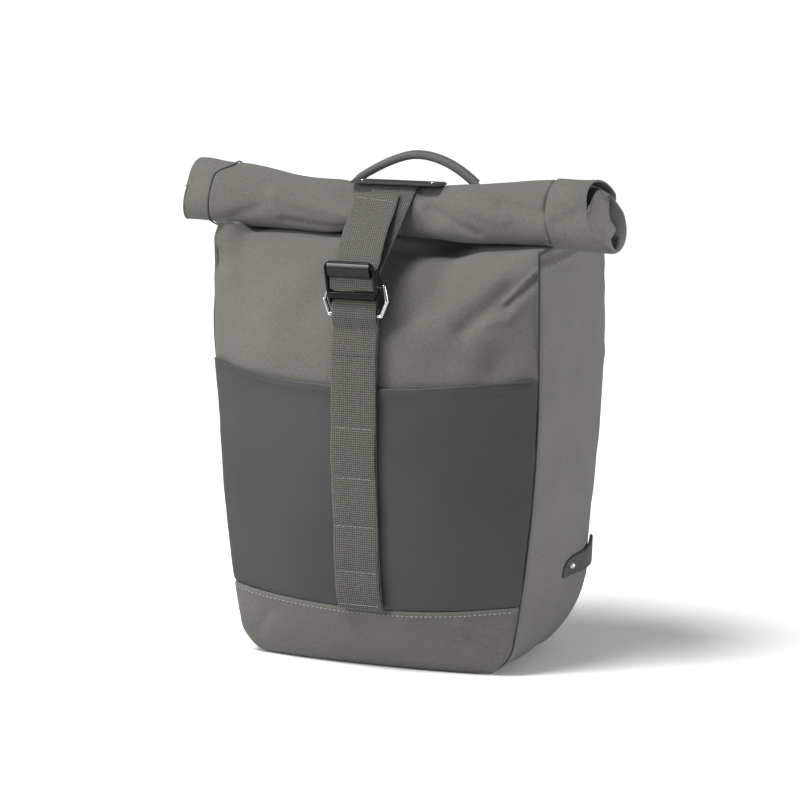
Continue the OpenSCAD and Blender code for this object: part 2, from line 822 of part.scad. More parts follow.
// ---- Lower rack fitting ----

track_half_len = 70;
track_d = 9;
track_h = 22;
track_wall = 2.6;
track_in_d = 4;
track_in_h = 16;
track_mouth = 8;
carriage_pin_r = 5;
carriage_face = half_d + part_gap + track_d + part_gap;
arm_y0 = carriage_face + 3 + 0.1;
arm_y1 = arm_y0 + 6.5;
leg_x = 30;
leg_y = arm_y1 + rack_leg_r + 0.3;
lower_hook_half_h = 6;

module lower_track() {
  color(hard_plastic) difference() {
    along_x(-track_half_len, track_half_len)
      channel_2d(track_z, rail_back, track_d, track_h, track_wall, track_in_d, track_in_h,
                 track_mouth);
    for (x = track_screw_x)
      rod_y(rail_back - 1, rail_back + track_wall + 1, x, track_z, screw_r + 0.1);
  }
}

module track_screws() {
  color(bright_metal) for (x = track_screw_x) screw(x, track_z, rail_back + track_wall);
}

module track_nuts() {
  color(bright_metal) for (x = track_screw_x) nut(x, track_z);
}

module lower_carriage() {
  foot_y0 = rail_back + track_wall + part_gap;
  foot_y1 = rail_back + track_wall + track_in_d - part_gap;
  color(hard_plastic) difference() {
    union() {
      along_x(-11, 11) {
        box_2d([foot_y0, track_z - track_in_h / 2 + part_gap],
               [foot_y1, track_z + track_in_h / 2 - part_gap]);
        box_2d([foot_y1 - 0.1, track_z - track_mouth / 2 + part_gap],
               [carriage_face + 0.1, track_z + track_mouth / 2 - part_gap]);
      }
      rod_y(carriage_face, carriage_face + 3, 0, track_z, 11);
      rod_y(carriage_face + 2, arm_y1 + 0.2, 0, track_z, carriage_pin_r);
    }
    rod_y(carriage_face, arm_y1 + 1, 0, track_z, 1.6);
  }
}

module lower_hook_screw() {
  color(bright_metal) {
    rod_y(carriage_face + 0.2, arm_y1 + 0.5, 0, track_z, 1.5);
    rod_y(arm_y1 + 0.4, arm_y1 + 3, 0, track_z, 7.5);
  }
}

module lower_hook() {
  color(hard_plastic) difference() {
    union() {
      rod_y(arm_y0, arm_y1, 0, track_z, 9.5);
      translate([0, arm_y0, track_z - lower_hook_half_h])
        cube([leg_x, arm_y1 - arm_y0, 2 * lower_hook_half_h]);
      translate([0, 0, track_z - lower_hook_half_h])
        linear_extrude(2 * lower_hook_half_h) difference() {
          union() {
            translate([leg_x, leg_y]) circle(rack_leg_r + 3.6);
            translate([leg_x - 6, leg_y + rack_leg_r]) square([6, 3.4]);
          }
          translate([leg_x, leg_y]) circle(rack_leg_r + 0.1);
          translate([leg_x - 20, leg_y - rack_leg_r - 0.1])
            square([20, 2 * rack_leg_r + 0.2]);
          translate([leg_x - 20, leg_y + rack_leg_r]) square([14, 8]);
          translate([leg_x - 20, arm_y0 - 12]) square([40, 12]);
        }
    }
    rod_y(arm_y0 - 1, arm_y1 + 1, 0, track_z, carriage_pin_r + pin_gap);
  }
}

front_panel();
pocket_panel();
base_band();
left_gusset();
right_gusset();
rear_panel();
back_board();
base_panel();
base_board();
neck_panel();
left_piping();
right_piping();
daisy_webbing();
left_tab();
right_tab();
tab_rivets();
handle_loops();
carry_handle();
rolled_top();
roll_stiffener();
strap_plate();
plate_rivets();
strap_root();
closure_strap();
hook_buckle();
hook_ring();
mounting_rail();
rail_screws();
rail_nuts();
rail_end_caps();
left_hook();
right_hook();
left_insert();
right_insert();
left_latch();
right_latch();
left_latch_pin();
right_latch_pin();
left_spring();
right_spring();
lower_track();
track_screws();
track_nuts();
lower_carriage();
lower_hook();
lower_hook_screw();
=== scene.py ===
"""Looks of a roll-top pannier bag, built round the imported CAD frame.

Metres; X to the right, Y towards the rack, Z up.
"""

import json
import math

import bpy
import numpy as np
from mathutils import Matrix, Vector

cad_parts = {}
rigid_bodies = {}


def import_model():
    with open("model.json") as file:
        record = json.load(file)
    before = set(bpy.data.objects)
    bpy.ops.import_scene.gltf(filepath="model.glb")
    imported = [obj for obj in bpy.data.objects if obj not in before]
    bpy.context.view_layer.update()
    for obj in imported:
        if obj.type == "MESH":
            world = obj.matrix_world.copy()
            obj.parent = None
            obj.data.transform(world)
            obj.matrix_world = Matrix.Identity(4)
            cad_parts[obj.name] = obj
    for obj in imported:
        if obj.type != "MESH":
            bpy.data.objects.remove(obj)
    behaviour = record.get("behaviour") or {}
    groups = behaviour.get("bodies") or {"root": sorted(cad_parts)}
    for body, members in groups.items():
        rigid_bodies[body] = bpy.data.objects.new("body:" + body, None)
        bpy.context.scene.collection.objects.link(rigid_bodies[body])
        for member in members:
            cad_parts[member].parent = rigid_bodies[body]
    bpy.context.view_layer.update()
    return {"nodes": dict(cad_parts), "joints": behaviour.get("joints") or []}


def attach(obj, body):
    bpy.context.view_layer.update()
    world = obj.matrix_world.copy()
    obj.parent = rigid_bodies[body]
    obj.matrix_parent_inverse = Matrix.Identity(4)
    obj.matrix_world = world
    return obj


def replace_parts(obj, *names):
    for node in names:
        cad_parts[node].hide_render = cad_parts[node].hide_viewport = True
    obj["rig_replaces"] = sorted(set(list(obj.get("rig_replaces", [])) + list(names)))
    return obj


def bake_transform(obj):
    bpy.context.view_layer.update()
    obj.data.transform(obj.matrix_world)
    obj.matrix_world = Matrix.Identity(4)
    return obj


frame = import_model()

# ---- Dimensions, in step with the CAD frame ----

BASE_HALF_W = 0.118
TOP_HALF_W = 0.144
HALF_D = 0.0755
CORNER_R = 0.026
TAPER_H = 0.25
BAND_H = 0.060
POCKET_H = 0.2485
FOLD_H = 0.346
REAR_RISE = 0.034
FLAT_END = 0.040
SHOULDER_H = 0.230
SHOULDER_TOP = 0.349
SHOULDER_Y = -0.058
CORNER_SHOULDER_Y = -HALF_D
NECK_Y = -0.008
NECK_Z = 0.388
NECK_HALF_W = 0.1795
WEBBING_W = 0.040
SEAM_CORD_R = 0.0012
CUFF_CORD_R = 0.0007

ROLL_A = 0.033
ROLL_B = 0.020
ROLL_Y = -0.037
ROLL_Z = 0.384
ROLL_LEAN = math.radians(36)
ROLL_LONG = np.array([math.sin(ROLL_LEAN), math.cos(ROLL_LEAN)])
ROLL_SHORT = np.array([-math.cos(ROLL_LEAN), math.sin(ROLL_LEAN)])

JOINTS = {j["name"]: j for j in frame["joints"]}
SWING = np.array(JOINTS["strap_swing"]["pos_m"][1:])
BAR = np.array(JOINTS["buckle_tilt"]["pos_m"][1:])
RING_PIVOT = np.array(JOINTS["ring_tilt"]["pos_m"][1:])
STRAP_DIR = (BAR - SWING) / np.linalg.norm(BAR - SWING)
STRAP_UP = np.array([STRAP_DIR[1], -STRAP_DIR[0]])
TOP_BAR = np.array([-0.1315, 0.3425])
LOW_BAR = np.array([-0.1245, 0.3165])
BUCKLE_UP = (TOP_BAR - LOW_BAR) / np.linalg.norm(TOP_BAR - LOW_BAR)
BUCKLE_OUT = np.array([-BUCKLE_UP[1], BUCKLE_UP[0]])


def mix(a, b, t):
    return a + (b - a) * t


def smooth(t):
    """An even step from 0 to 1 as t goes from 0 to 1."""
    t = np.clip(t, 0, 1)
    return t * t * (3 - 2 * t)


def bell(offset, width, power=2):
    """A bump of height 1 where offset is 0, which fades over width."""
    return np.exp(-((offset / width) ** power))


def unit(vectors):
    return vectors / np.linalg.norm(vectors, axis=-1, keepdims=True)


def run_length(path):
    """Distance along a path to each of its points."""
    return np.concatenate([[0], np.cumsum(np.linalg.norm(np.diff(path, axis=0), axis=1))])


def resample(points, step):
    """The same path with its points about step apart."""
    points = np.asarray(points, float)
    run = run_length(points)
    s = np.linspace(0, run[-1], max(8, int(run[-1] / step)))
    return np.stack([np.interp(s, run, points[:, k]) for k in range(points.shape[1])], -1)


def left_normals(path):
    """Unit normals of a 2D path, on its left."""
    t = unit(np.gradient(path, axis=0))
    return np.stack([-t[:, 1], t[:, 0]], -1)


def full_circle(count):
    return np.linspace(0, 2 * math.pi, count, endpoint=False)


def joined(*parts):
    """Samples of touching ranges, without the points they share."""
    return np.concatenate([p[:-1] for p in parts[:-1]] + [parts[-1]])


# ---- Soft noise in space, the same on every run ----

class SoftNoise:
    """Smooth noise between -1 and 1 from a fixed lattice of random values."""

    SIZE = 32

    def __init__(self, seed):
        self.lattice = np.random.default_rng(seed).uniform(-1, 1, (self.SIZE,) * 3)

    def __call__(self, points, wavelength):
        p = np.asarray(points, float) / wavelength
        cell = np.floor(p).astype(int)
        near_next = smooth(p - cell)
        total = 0.0
        for corner in np.ndindex(2, 2, 2):
            at = (cell + corner) % self.SIZE
            weight = np.where(corner, near_next, 1 - near_next).prod(-1)
            total = total + self.lattice[at[..., 0], at[..., 1], at[..., 2]] * weight
        return total


noise_a = SoftNoise(3)
noise_b = SoftNoise(11)


# ---- Mesh building ----

def surface_normals(p):
    """Unit normals of a grid of points, from its own spacing."""
    n = np.cross(np.gradient(p, axis=1), np.gradient(p, axis=0))
    return n / np.maximum(np.linalg.norm(n, axis=-1, keepdims=True), 1e-12)


def lifted(p, amount, side=1):
    """The grid moved along its normals."""
    return p + surface_normals(p) * side * np.asarray(amount)[..., None]


def grid_uv(p):
    """Texture coordinates in metres: along each row from its middle, and along the middle column."""
    cols = p.shape[1]
    step = np.linalg.norm(np.diff(p, axis=1), axis=-1)
    u = np.concatenate([np.zeros((len(p), 1)), np.cumsum(step, axis=1)], 1)
    u = u - u[:, cols // 2, None]
    v = run_length(p[:, cols // 2])
    return np.stack([u, np.repeat(v[:, None], cols, 1)], -1)


def sheet_faces(rows, cols):
    """Faces of a sheet with an outer and an inner grid of points, and the rim that joins them."""
    idx = np.arange(rows * cols).reshape(rows, cols)
    outer = np.stack([idx[:-1, :-1], idx[:-1, 1:], idx[1:, 1:], idx[1:, :-1]], -1).reshape(-1, 4)
    edge = np.concatenate([idx[0, :-1], idx[:-1, -1], idx[-1, :0:-1], idx[:0:-1, 0]])
    nxt = np.roll(edge, -1)
    rim = np.stack([nxt, edge, edge + idx.size, nxt + idx.size], -1)
    return np.concatenate([outer, outer[:, ::-1] + idx.size, rim])


def ring_faces(rows, around, first=0):
    """Faces of a closed form made of rings of points, with both ends capped."""
    idx = first + np.arange(rows * around).reshape(rows, around)
    nxt = np.roll(idx, -1, axis=1)
    sides = np.stack([idx[:-1], nxt[:-1], nxt[1:], idx[1:]], -1).reshape(-1, 4)
    return sides.tolist() + [idx[0][::-1].tolist(), idx[-1].tolist()]


def face_outward(obj, middle=(0, 0, 0)):
    """Turns a closed form's faces outwards, if its volume comes out negative."""
    middle = Vector(middle)
    if sum((p.center - middle).dot(p.normal) * p.area for p in obj.data.polygons) < 0:
        obj.data.flip_normals()


def ease_edges(obj, width, angle):
    """Rounds every edge sharper than angle."""
    edge = obj.modifiers.new("edge", "BEVEL")
    edge.width = width
    edge.segments = 2
    edge.limit_method = "ANGLE"
    edge.angle_limit = math.radians(angle)


def in_scene(name, data):
    obj = bpy.data.objects.new(name, data)
    bpy.context.scene.collection.objects.link(obj)
    return obj


def stands_for(obj, slot, *nodes):
    """Hides the CAD nodes that a piece stands for; the slot argument is not used."""
    if nodes:
        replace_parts(obj, *nodes)


def settled(points):
    """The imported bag's slump: its left front edge and right rear foot stand out from the pattern."""
    x, y, z = points[:, 0], points[:, 1], points[:, 2]
    share = np.clip(np.abs(x) / 0.12, 0, 1) ** 2
    left = (0.0045 + 0.0035 * smooth((z - 0.20) / 0.08)) * (1 - smooth((y + HALF_D) / (2 * HALF_D)))
    left = left * (1 - smooth((z - 0.350) / 0.025))
    right = 0.008 * bell(z - 0.055, 0.04) * smooth(y / 0.07)
    points[:, 0] += share * np.where(x > 0, right, -left)
    return points


def new_object(name, verts, faces, uvs, material, body, sharp=50):
    """A smooth-shaded mesh that rides on a body."""
    verts = np.array(verts, float)
    if body == "bag":
        verts = settled(verts)
    mesh = bpy.data.meshes.new(name)
    mesh.from_pydata([tuple(v) for v in verts], [], faces)
    if uvs is not None:
        layer = mesh.uv_layers.new(name="UVMap")
        loops = np.zeros(len(mesh.loops), np.int32)
        mesh.loops.foreach_get("vertex_index", loops)
        layer.data.foreach_set("uv", np.asarray(uvs, np.float32)[loops].ravel())
    mesh.validate()
    mesh.polygons.foreach_set("use_smooth", [True] * len(mesh.polygons))
    mesh.set_sharp_from_angle(angle=math.radians(sharp))
    mesh.materials.append(material)
    obj = in_scene(name, mesh)
    if body:
        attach(obj, body)
    return obj


def shell(name, p, thickness, material, body="bag", side=1):
    """A closed sheet of cloth: the grid p is its outer face, and its inner face lies thickness below."""
    inner = p - surface_normals(p) * side * thickness
    verts = np.concatenate([p.reshape(-1, 3), inner.reshape(-1, 3)])
    uvs = np.concatenate([grid_uv(p).reshape(-1, 2)] * 2)
    faces = sheet_faces(*p.shape[:2])[:, ::side]
    return new_object(name, verts, faces.tolist(), uvs, material, body)


def sweep(path, section, up=None):
    """Points of a 2D section carried along a 3D path; returns (rows, around, 3)."""
    tangent = unit(np.gradient(path, axis=0))
    side = np.zeros_like(path)
    ref = np.array([0.0, 0.0, 1.0] if up is None else up)
    for i, t in enumerate(tangent):
        side[i] = unit(ref - t * (ref @ t))
        if up is None:
            ref = side[i]
    other = np.cross(tangent, side)
    return path[:, None] + side[:, None] * section[:, :1] + other[:, None] * section[:, 1:]


def tube(name, path, section, material, body="bag", up=None):
    """A closed solid swept along a path, with both ends capped."""
    p = sweep(path, section, up)
    rows, around = p.shape[:2]
    uv = np.stack(np.meshgrid(run_length(p[0]), run_length(path)), -1).reshape(-1, 2)
    obj = new_object(name, p.reshape(-1, 3), ring_faces(rows, around), uv, material, body, 60)
    middle = Vector(p[rows // 2].mean(0))
    face = obj.data.polygons[(rows // 2) * around]
    if (face.center - middle).dot(face.normal) < 0:
        obj.data.flip_normals()
    return obj


def circle_section(radius, count=16):
    a = full_circle(count)
    return np.stack([np.cos(a), np.sin(a)], -1) * radius


def oval_section(half_a, half_b, power=2.0, count=24):
    """A superellipse: power 2 is an ellipse, and larger powers are boxier."""
    points = circle_section(1.0, count)
    return np.sign(points) * np.abs(points) ** (2 / power) * np.array([half_a, half_b])


# ---- Materials ----

class Shader:
    """A node material with short calls for the nodes it needs."""

    def __init__(self, name, rough=0.8, metallic=0.0, specular=0.5):
        self.material = bpy.data.materials.new(name)
        self.material.use_nodes = True
        self.tree = self.material.node_tree
        self.bsdf = self.tree.nodes["Principled BSDF"]
        self.preset(self.bsdf, Roughness=rough, Metallic=metallic, Specular_IOR_Level=specular)

    def preset(self, node, **values):
        for name, value in values.items():
            node.inputs[name.replace("_", " ")].default_value = value

    def node(self, kind, **values):
        n = self.tree.nodes.new("ShaderNode" + kind)
        self.preset(n, **values)
        return n

    def link(self, source, target):
        node, name = target if isinstance(target, tuple) else (self.bsdf, target)
        self.tree.links.new(source, node.inputs[name])

    def math(self, operation, *values):
        n = self.node("Math")
        n.operation = operation
        for i, value in enumerate(values):
            if isinstance(value, (int, float)):
                n.inputs[i].default_value = value
            else:
                self.link(value, (n, i))
        return n.outputs[0]

    def times(self, a, b):
        return self.math("MULTIPLY", a, b)

    def blend(self, *parts):
        """Sum of sources, each given with its share."""
        total = self.times(*parts[0])
        for part in parts[1:]:
            total = self.math("ADD", total, self.times(*part))
        return total

    def threads(self, pitch):
        """Waves along both texture directions, one to a thread."""
        n = self.node("SeparateXYZ")
        self.link(self.node("TexCoord").outputs["UV"], (n, 0))
        return [self.math("SINE", self.times(n.outputs[k], 2 * math.pi / pitch)) for k in (0, 1)]

    def noise(self, scale, detail=2.0, space="Object", stretch=None):
        n = self.node("TexNoise", Scale=scale, Detail=detail)
        source = self.node("TexCoord").outputs[space]
        if stretch:
            m = self.node("Mapping", Scale=stretch)
            self.link(source, (m, "Vector"))
            source = m.outputs[0]
        self.link(source, (n, "Vector"))
        return n.outputs["Fac"]

    def ramp(self, fac, colour, low, high, at=(0.3, 0.7)):
        """Colour of the surface, from low to high times a colour as fac crosses a range."""
        n = self.node("ValToRGB")
        for stop, share, place in zip(n.color_ramp.elements, (low, high), at):
            stop.position = place
            stop.color = (*shade(colour, share), 1)
        self.link(fac, (n, 0))
        self.link(n.outputs[0], "Base Color")

    def bump(self, height, strength, distance):
        n = self.node("Bump", Strength=strength, Distance=distance)
        self.link(height, (n, "Height"))
        self.link(n.outputs[0], "Normal")

    def level(self, source, low, high):
        """A value from low to high as source goes from 0 to 1."""
        n = self.node("MapRange", To_Min=low, To_Max=high)
        self.link(source, (n, "Value"))
        return n.outputs[0]

    def seen_by_camera(self, other, seen):
        """A level for everything else, and another for what the camera sees directly."""
        return self.level(self.node("LightPath").outputs["Is Camera Ray"], other, seen)

    def sheen(self, weight):
        self.preset(self.bsdf, Sheen_Weight=weight, Sheen_Roughness=0.5)


def shade(colour, factor):
    return tuple(c * factor for c in colour)


def woven(name, colour, pitch, contrast=0.25, depth=0.00012):
    """Plain weave: warp and weft cross in a fine checker, with heathered threads."""
    s = Shader(name, 0.92, specular=0.25)
    weave = s.times(*s.threads(pitch))
    along = s.noise(1 / pitch * 0.8, 2.0, "UV", (1.0, 0.45, 1.0))
    across = s.noise(1 / pitch * 0.8, 2.0, "UV", (0.45, 1.0, 1.0))
    cloud = s.noise(26, 3.0)
    tone = s.blend((weave, 0.16), (along, 0.38), (across, 0.34), (cloud, 0.28))
    s.ramp(tone, colour, 1 - contrast, 1 + contrast, (0.25, 0.75))
    s.bump(s.math("ADD", weave, s.times(along, 0.8)), 0.55, depth)
    s.sheen(0.15)
    return s.material


def ribbed(name, colour, pitch):
    """Webbing: a coarse basket weave whose thread crowns are coloured lighter, a painted highlight."""
    s = Shader(name, 0.85, specular=0.3)
    crown = s.times(*[s.math("ADD", wave, 1.0) for wave in s.threads(pitch)])
    crown = s.times(crown, 0.25)
    wear = s.noise(1 / pitch * 0.7, 3.0, "UV")
    # painted highlight: the thread crowns are coloured lighter; the wear noise varies the tone at random
    s.ramp(s.blend((crown, 0.65), (wear, 0.35)), colour, 0.40, 1.55, (0.14, 0.80))
    s.bump(crown, 0.9, 0.0004)
    s.sheen(0.1)
    return s.material


def coated(name, colour):
    """Rubber-coated cloth: satin, with a very fine grain and faint clouding."""
    s = Shader(name, 0.5, specular=0.45)
    s.ramp(s.noise(9, 3.0), colour, 0.92, 1.08, (0.35, 0.65))
    s.link(s.level(s.noise(14), 0.44, 0.56), "Roughness")
    s.bump(s.noise(1500), 0.25, 0.00008)
    return s.material


def leather(name, colour):
    """Leatherette: fine pebbled cells, with light clouding."""
    s = Shader(name, 0.55)
    cells = s.node("TexVoronoi", Scale=900)
    s.link(s.node("TexCoord").outputs["Object"], (cells, "Vector"))
    s.ramp(s.noise(60, 4.0), colour, 0.8, 1.25)
    s.bump(cells.outputs["Distance"], 0.5, 0.00015)
    return s.material


def metal(name, colour, rough, metallic=1.0):
    """Metal, or painted metal where metallic is 0, with faint handling marks."""
    s = Shader(name, rough, metallic, mix(0.22, 0.5, metallic))
    s.ramp(s.noise(40, 3.0), colour, 0.93, 1.05)
    s.link(s.level(s.noise(180, 4.0), rough - 0.04, rough + 0.04), "Roughness")
    s.bump(s.noise(700), 0.05, 0.00004)
    return s.material


def roller(name, low, high):
    """Black bar with a painted highlight: its colour is lighter on faces that point up and falls off to
    black below, as painted shade.
    """
    s = Shader(name, 0.32)
    split = s.node("SeparateXYZ")
    s.link(s.node("NewGeometry").outputs["Normal"], (split, "Vector"))
    # painted highlight and painted shade: the base colour follows how far each face points up
    s.ramp(split.outputs["Z"], (1.0, 1.0, 1.0), low, high, (0.04, 0.42))
    s.bump(s.noise(700), 0.05, 0.00004)
    return s.material


def plastic(name, colour, rough=0.48):
    """Moulded plastic with a fine spark-eroded texture, paler along sharp outer edges and darker in
    creases and hollows, which is painted shade.
    """
    s = Shader(name, rough)
    cloud = s.noise(30, 3.0)
    # from pointiness: paler on sharp outer edges, darker in creases and hollows as painted shade
    point = s.node("NewGeometry").outputs["Pointiness"]
    edge = s.times(s.math("SUBTRACT", point, 0.5), 1.5)
    s.ramp(s.math("ADD", cloud, edge), colour, 0.85, 1.5, (0.35, 0.85))
    s.bump(s.noise(1400), 0.35, 0.0001)
    return s.material


def thread(name, colour):
    """Twisted thread or cord."""
    s = Shader(name, 0.75)
    twist = s.noise(2600)
    s.ramp(twist, colour, 0.7, 1.15)
    s.bump(twist, 0.5, 0.0002)
    s.sheen(0.2)
    return s.material


GREY = (0.168, 0.164, 0.149)
FABRIC_PITCH = 0.0013
WEBBING_PITCH = 0.0019
MAT = {
    "fabric": woven("woven_fabric", GREY, FABRIC_PITCH),
    "fabric_side": woven("woven_fabric_side", shade(GREY, 0.97), FABRIC_PITCH),
    "coated": coated("coated_fabric", (0.066, 0.063, 0.064)),
    "webbing": ribbed("webbing", (0.172, 0.168, 0.148), WEBBING_PITCH),
    "leather": leather("leatherette", (0.036, 0.035, 0.035)),
    "chrome": metal("bright_ring", (0.86, 0.86, 0.87), 0.12),
    "black_metal": metal("black_buckle", (0.009, 0.009, 0.010), 0.20, 0.0),
    # the top roller's highlight and dark underside are painted into its colour
    "roller": roller("black_roller_painted_highlight", 0.006, 0.24),
    "steel": metal("zinc_steel", (0.62, 0.62, 0.62), 0.32),
    "plastic": plastic("moulded_plastic", (0.022, 0.022, 0.024)),
    "board": plastic("sheet_plastic", (0.05, 0.05, 0.05), 0.6),
    "rubber": plastic("rubber_liner", (0.06, 0.06, 0.06), 0.8),
    "cord": thread("seam_cord", (0.040, 0.039, 0.037)),
    "thread": thread("light_thread", (0.42, 0.41, 0.38)),
    "dark_thread": thread("grey_thread", (0.085, 0.083, 0.078)),
    "handle": woven("handle_webbing", (0.16, 0.156, 0.142), 0.0012, 0.3, 0.0002),
}


# ---- The bag's surfaces ----

# Radius under the front's lower edge
LIP = 0.009
# The front sheet's arc over its shoulder, as a power of the quarter turn
SHOULDER_POWER = 0.77


def half_w(z):
    """Half width of the bag's flat faces at a height."""
    lean = np.maximum(0, 1 - z / TAPER_H) ** 1.9
    return TOP_HALF_W - (TOP_HALF_W - BASE_HALF_W) * lean


def corner_w(z):
    """Half width where the bottom corners are rounded off."""
    drop = np.maximum(0, CORNER_R - z)
    return half_w(z) - CORNER_R + np.sqrt(CORNER_R**2 - drop**2)


def front_y(u, z):
    """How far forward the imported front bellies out."""
    bulge = 0.008 + 0.036 * (1 - np.exp(-z / 0.062))
    return -HALF_D - bulge * (1 - np.abs(u) ** 2.4)


def base_rise(y):
    """Height of the base, which is flat at the front and rises to the rear."""
    return REAR_RISE * (np.maximum(0, y - FLAT_END) / (HALF_D - FLAT_END)) ** 1.4


def foot_z(v):
    """Height round a bottom corner as v goes from 0 to 1."""
    return CORNER_R * (1 - np.cos(np.pi / 2 * np.minimum(v, 1)))


def shoulder_top(x):
    """Top of the front: hollow under the roll right of the strap, fuller towards both corners."""
    puff = 0.004 * bell(x - 0.135, 0.022)
    puff = puff - 0.008 * bell(x - 0.038, 0.034, 4)
    puff = puff + 0.003 * bell(x + 0.09, 0.05) + 0.005 * smooth((-0.018 - x) / 0.02)
    return SHOULDER_TOP + puff + 0.0095 * smooth((-x - 0.115) / 0.02)


def front_point(u, v):
    """Front sheet: v 0 to 2 up to the shoulder, 2 to 3 over it, 3 to 4 under the roll."""
    z_low = np.where(v < 1, foot_z(v), mix(CORNER_R, SHOULDER_H, np.clip(v - 1, 0, 1)))
    t = np.clip(v - 2, 0, 1)
    n = np.clip(v - 3, 0, 1)
    top_y = mix(SHOULDER_Y, CORNER_SHOULDER_Y, np.abs(u) ** 4)
    rim = shoulder_top(u * TOP_HALF_W)
    z = np.where(v <= 2, z_low, mix(SHOULDER_H, rim, np.sin(np.pi / 2 * t) ** SHOULDER_POWER))
    y = np.where(
        v <= 2,
        front_y(u, z_low),
        mix(top_y, front_y(u, SHOULDER_H), np.cos(np.pi / 2 * t) ** 1.25),
    )
    x = np.where(v <= 2, u * corner_w(z_low), u * half_w(z))
    x = np.where(v > 3, u * mix(TOP_HALF_W, NECK_HALF_W - 0.004, n**3), x)
    y = np.where(v > 3, mix(top_y, NECK_Y - 0.001, np.sin(np.pi / 2 * n)), y)
    z = np.where(v > 3, mix(rim, NECK_Z - 0.002, 1 - np.cos(np.pi / 2 * n)), z)
    under = np.maximum(0, LIP - z_low)
    y = y + np.where(v < 1, LIP - np.sqrt(LIP**2 - under**2), 0)
    return np.stack([x, y, z], -1)


def gusset_point(w, v, side=1):
    """Side wall, on the right: w 0 at the front seam to 1 at the rear, v 0 to 2 up it, 2 to 3 neck."""
    y = mix(-HALF_D, HALF_D, w)
    rise = base_rise(y)
    vv = np.minimum(v, 2)
    fold = mix(shoulder_top(side * TOP_HALF_W), FOLD_H, smooth(w / 0.35))
    z = rise + np.where(vv < 1, foot_z(vv), mix(CORNER_R, fold - rise, vv - 1))
    belly = 0.004 * np.sin(np.pi * w) * np.sin(np.pi / 3 * vv)
    x = corner_w(z - rise) + belly
    lift = 0.011 * smooth((y + 0.035) / 0.06) * smooth(vv / 0.8) * (1 - smooth((z - 0.04) / 0.08))
    z = z + lift
    t = np.maximum(0, v - 2)
    along = mix(np.sin(np.pi / 2 * t), t, w)
    up = mix(1 - np.cos(np.pi / 2 * t), t, w)
    wide = mix(t**3, t**1.5, w)
    return np.stack(
        [mix(x, NECK_HALF_W, wide), mix(y, NECK_Y, along), mix(z, NECK_Z, up)], -1
    )


def ridge(x, z, start, end, width, height):
    """A soft ridge, or a valley if height is negative, along a line on the front."""
    sx, sz = start
    dx, dz = end[0] - sx, end[1] - sz
    length = math.hypot(dx, dz)
    t = ((x - sx) * dx + (z - sz) * dz) / length**2
    off = ((x - sx) * dz - (z - sz) * dx) / length
    past_end = np.maximum(0, np.maximum(-t, t - 1)) * length
    return height * bell(off, width) * bell(past_end, width)


# Each fold of the front: start and end in x and z, width, height
FRONT_FOLDS = (
    ((0.143, 0.3395), (0.117, 0.313), 0.0022, 0.0022),
    ((0.141, 0.3330), (0.119, 0.309), 0.0040, -0.0022),
    ((0.0860, 0.290), (0.118, 0.322), 0.0085, -0.0042),
    ((0.1010, 0.316), (0.112, 0.331), 0.0100, 0.0022),
    ((0.1050, 0.295), (0.121, 0.299), 0.0040, 0.0012),
    ((0.1210, 0.299), (0.129, 0.310), 0.0040, 0.0012),
    ((0.1120, 0.258), (0.114, 0.266), 0.0130, -0.0050),
    ((0.0700, 0.262), (0.090, 0.285), 0.0160, -0.0016),
    ((-0.141, 0.337), (-0.137, 0.330), 0.0090, -0.0022),
    ((-0.125, 0.335), (-0.100, 0.300), 0.0110, -0.0016),
    ((-0.030, 0.330), (-0.055, 0.290), 0.0140, -0.0018),
    ((0.0300, 0.335), (0.040, 0.300), 0.0110, -0.0028),
    ((0.0820, 0.046), (0.106, 0.034), 0.0040, 0.0011),
    ((0.0900, 0.034), (0.110, 0.022), 0.0045, -0.0013),
    ((0.0700, 0.024), (0.094, 0.016), 0.0050, 0.0009),
    ((-0.090, 0.040), (-0.104, 0.020), 0.0060, -0.0010),
)


def seam_pucker(distance, along, seed):
    """Small gathers where cloth is drawn in by a line of stitches."""
    p = np.stack([along, np.full_like(along, seed), np.zeros_like(along)], -1)
    wave = noise_b(p, 0.011)
    return 0.0006 * wave * bell(distance, 0.010)


def front_relief(p, u):
    """How far the front's cloth stands out from its plain surface."""
    x, z = p[..., 0], p[..., 2]
    out = 0.0018 * noise_a(p, 0.062) + 0.00070 * noise_b(p, 0.026)
    for start, end, width, height in FRONT_FOLDS:
        out = out + ridge(x, z, start, end, width, height)
    from_seam = half_w(z) * (1 - np.abs(u))
    out = out + seam_pucker(from_seam, z, 1.0) - 0.0013 * bell(from_seam, 0.003)
    return out * smooth((z - 0.002) / 0.02) * smooth(from_seam / 0.004 + 0.2)


def v_of_height(z):
    """The front's v at a height below the shoulder's top."""
    low = 1 + (z - CORNER_R) / (SHOULDER_H - CORNER_R)
    share = np.clip((z - SHOULDER_H) / (SHOULDER_TOP - SHOULDER_H), 0, 1)
    high = 2 + np.arcsin(share ** (1 / SHOULDER_POWER)) / (np.pi / 2)
    return np.where(z < SHOULDER_H, low, high)


CLOTH_T = 0.0012
POCKET_T = 0.0011
POCKET_OFF = 0.0022
BAND_OFF = 0.0026
# Half width of the front sheet and of the pieces sewn on it, as shares of the bag's
FRONT_SPAN = 0.995
PANEL_SPAN = 0.985
# The pocket lies across the front's folds and takes on only part of them
POCKET_RELIEF = 0.55
SIDES = ((1, "right"), (-1, "left"))


